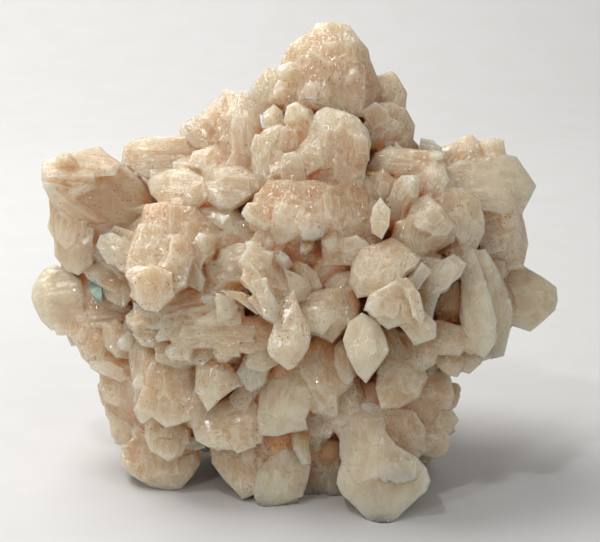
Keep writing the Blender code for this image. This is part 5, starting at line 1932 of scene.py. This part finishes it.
def store_marks(mesh, plates, edge):
    """Write the numbers that the finish reads, for each corner of each face."""
    verts = np.zeros(len(mesh.loops), int)
    mesh.loops.foreach_get("vertex_index", verts)
    places = np.zeros(len(mesh.vertices) * 3)
    mesh.vertices.foreach_get("co", places)
    places = places.reshape(-1, 3)[verts]
    which = np.zeros(len(mesh.polygons), int)
    mesh.attributes["which"].data.foreach_get("value", which)
    mesh.attributes.remove(mesh.attributes["which"])
    sides = np.zeros(len(mesh.polygons), int)
    mesh.polygons.foreach_get("loop_total", sides)
    which = np.repeat(which, sides)
    turned = np.array(plates.places)[which]
    local = np.einsum("nij,nj->ni", turned[:, :3, :3], places) + turned[:, :3, 3]
    facts = Facts(*np.array(plates.facts)[which].T)
    grain = mesh.attributes.new("grain", "FLOAT_VECTOR", "CORNER")
    shifted = local + (which[:, None] + 1) * PATTERN_SHIFT
    grain.data.foreach_set("vector", shifted.astype(np.float32).ravel())
    growth = np.clip((local[:, 2] - facts.low) / facts.length, 0, 1)
    store_numbers(mesh, "growth", "CORNER", growth)
    store_numbers(mesh, "edge", "CORNER", edge[verts])
    for name in ("warm", "tone", "ribs", "clear"):
        store_numbers(mesh, name, "CORNER", getattr(facts, name))


def solid_from(name, shape):
    """An object in millimetres that cuts other shapes."""
    mesh = mesh_from(name, shape)
    mark_faces(mesh, 0)
    thing = bpy.data.objects.new(name, mesh)
    bpy.context.scene.collection.objects.link(thing)
    return thing


def ground_cutter():
    """A block under the level that the cluster stands on."""
    block = bmesh.new()
    bmesh.ops.create_cube(block, size=1.0)
    bmesh.ops.scale(block, vec=GROUND_BLOCK, verts=block.verts)
    bmesh.ops.translate(block, vec=(0, 0, -GROUND_BLOCK[2] / 2), verts=block.verts)
    return solid_from("ground cutter", block)


def listed_crystals():
    """All crystals that are given by their corners."""
    return crown() + upper_left() + left_side() + centre() + bottom() + right_side()


class CRYSTALS_OT_grow_crystals(bpy.types.Operator):
    """Grow the mass, its large crystals and the small ones between and behind them"""

    bl_idname = "crystals.grow_crystals"
    bl_label = "Crystals"

    def execute(self, context):
        sizes = context.scene.crystal_sizes
        rng = random.Random(SEED)
        listed = listed_crystals()
        spread = hidden_side(rng) + small_front(listed, rng)
        plates = Plates("stilbite_crystals")
        for place, radius in lumps():
            plates.add_ball(seen(*place), radius - MASS_SMALLER, rng)
        for index, entry in enumerate(listed):
            plates.add_crystal(entry, random.Random(SEED + index))
            if not entry["clear"]:
                plates.add_mates(entry, random.Random(SEED + index + MATES_SEED))
                small = random.Random(SEED + index + SEAMS_SEED)
                for mate in seam_crystals(entry, sizes.seams / MM, listed, small):
                    plates.add_crystal(mate, small)
        spread += gap_crystals(listed, random.Random(SEED + GAPS_SEED))
        for index, entry in enumerate(spread):
            plates.add_crystal(entry, random.Random(SEED + index + SPREAD_SEED))
        self.add_druse(plates, listed, sizes.druse / MM)
        cutters = [ground_cutter(), solid_from("green pocket", green_shape(GREEN_GAP))]
        finished_piece(plates, cutters, sizes, crystal_finish(context.scene.crystal_tints))
        return {"FINISHED"}

    def add_druse(self, plates, listed, spacing):
        """Small crystals all over the mass, but not where a large crystal is seen."""
        rng = random.Random(SEED + DRUSE_SEED)
        for spot, outward in surface_spots(spacing, MASS_SMALLER):
            near_green = (spot - seen(*GREEN_TIP)).length < GREEN_CLEAR / 2
            on_face = outward.dot(OUT_OF_VIEW) > 0
            if near_green or on_face and over_listed(spot, listed):
                continue
            entry = lying_crystal(spot, outward, rng)
            draw_in(entry)
            plates.add_crystal(grown(entry, rng), rng)


class CRYSTALS_OT_mark_hollows(bpy.types.Operator):
    """Store on all crystals how deep in a hollow each place lies"""

    bl_idname = "crystals.mark_hollows"
    bl_label = "Hollows"

    def execute(self, context):
        sizes = context.scene.crystal_sizes
        mark_hollows(bpy.data.objects["stilbite_crystals"].data, sizes.rays, sizes.hollow)
        return {"FINISHED"}


class CRYSTALS_OT_finish_green(bpy.types.Operator):
    """Give the small green crystal its finish"""

    bl_idname = "crystals.finish_green"
    bl_label = "Green Crystal"

    def execute(self, context):
        crystal = frame["nodes"]["green_crystal"]
        crystal.data.materials.clear()
        crystal.data.materials.append(green_finish(context.scene.crystal_tints))
        return {"FINISHED"}


class CRYSTALS_OT_set_stage(bpy.types.Operator):
    """Make the floor, the lights and the camera"""

    bl_idname = "crystals.set_stage"
    bl_label = "Stage"

    def execute(self, context):
        stage = context.scene.stage_sizes
        self.make_floor(stage)
        powers = {"window light": stage.key, "glint light": stage.glint, "front light": stage.fill}
        for name, place, size, colour, behind in LIGHTS:
            aim = MIDDLE * MM + Vector((0.0, behind, 0.0))
            self.make_light(name, place, aim, size, powers[name], colour)
        world = bpy.data.worlds.new("room")
        world.use_nodes = True
        room = world.node_tree.nodes["Background"].inputs
        room["Color"].default_value = ROOM_COLOUR
        room["Strength"].default_value = stage.sky
        context.scene.world = world
        context.scene.view_settings.view_transform = "Standard"
        self.make_camera(context)
        return {"FINISHED"}

    def make_floor(self, stage):
        """A floor that sweeps up behind the cluster."""
        shape = bmesh.new()
        rows = [(FLOOR_FRONT, 0.0), (SWEEP_FROM, 0.0)]
        for step in range(1, SWEEP_STEPS + 1):
            angle = math.pi / 2 * step / SWEEP_STEPS
            y = SWEEP_FROM + SWEEP_RADIUS * math.sin(angle)
            rows.append((y, SWEEP_RADIUS - SWEEP_RADIUS * math.cos(angle)))
        rows.append((SWEEP_FROM + SWEEP_RADIUS, WALL_TOP))
        rings = [[shape.verts.new((x, y, z)) for x in (-FLOOR_HALF, FLOOR_HALF)] for y, z in rows]
        for near, far in zip(rings[:-1], rings[1:]):
            shape.faces.new((near[0], near[1], far[1], far[0]))
        mesh = bpy.data.meshes.new("floor")
        shape.to_mesh(mesh)
        shape.free()
        mesh.shade_smooth()
        mesh.materials.append(floor_finish(stage))
        floor = bpy.data.objects.new("floor", mesh)
        bpy.context.scene.collection.objects.link(floor)

    def make_light(self, name, place, aim, size, power, colour):
        """A soft rectangular light that points at its aim."""
        lamp = bpy.data.lights.new(name, "AREA")
        lamp.shape = "RECTANGLE"
        lamp.size, lamp.size_y = size
        lamp.energy = power
        lamp.color = colour
        light = bpy.data.objects.new(name, lamp)
        light.location = place
        light.rotation_euler = (Vector(place) - aim).to_track_quat("Z", "Y").to_euler()
        bpy.context.scene.collection.objects.link(light)

    def make_camera(self, context):
        """A camera at the eye that the lists are measured by."""
        lens = bpy.data.cameras.new("camera")
        lens.lens = LENS
        lens.sensor_width = SENSOR
        lens.clip_start = NEAREST_SEEN
        camera = bpy.data.objects.new("camera", lens)
        camera.location = EYE * MM
        camera.rotation_euler = OUT_OF_VIEW.to_track_quat("Z", "Y").to_euler()
        context.scene.collection.objects.link(camera)
        context.scene.camera = camera


class CRYSTALS_PT_panel(bpy.types.Panel):
    """The steps of the cluster"""

    bl_idname = "CRYSTALS_PT_panel"
    bl_label = "Stilbite Cluster"
    bl_space_type = "VIEW_3D"
    bl_region_type = "UI"
    bl_category = "Crystals"

    def draw(self, context):
        layout = self.layout
        for step in STEPS:
            layout.operator(step.bl_idname)
        for group_name in GROUPS:
            group = getattr(context.scene, group_name)
            for name in group.bl_rna.properties.keys():
                if name not in ("rna_type", "name"):
                    layout.prop(group, name)


STEPS = (
    CRYSTALS_OT_set_stage,
    CRYSTALS_OT_grow_crystals,
    CRYSTALS_OT_mark_hollows,
    CRYSTALS_OT_finish_green,
)
GROUPS = {
    "crystal_sizes": CrystalSizes,
    "crystal_tints": CrystalTints,
    "stage_sizes": StageSizes,
}


def register():
    for kind in (*GROUPS.values(), *STEPS, CRYSTALS_PT_panel):
        bpy.utils.register_class(kind)
    for name, kind in GROUPS.items():
        setattr(bpy.types.Scene, name, bpy.props.PointerProperty(type=kind))


def unregister():
    for name in GROUPS:
        delattr(bpy.types.Scene, name)
    for kind in (CRYSTALS_PT_panel, *STEPS, *GROUPS.values()):
        bpy.utils.unregister_class(kind)


def main():
    register()
    bpy.ops.crystals.set_stage()
    bpy.ops.crystals.grow_crystals()
    bpy.ops.crystals.mark_hollows()
    bpy.ops.crystals.finish_green()


if __name__ == "__main__":
    main()
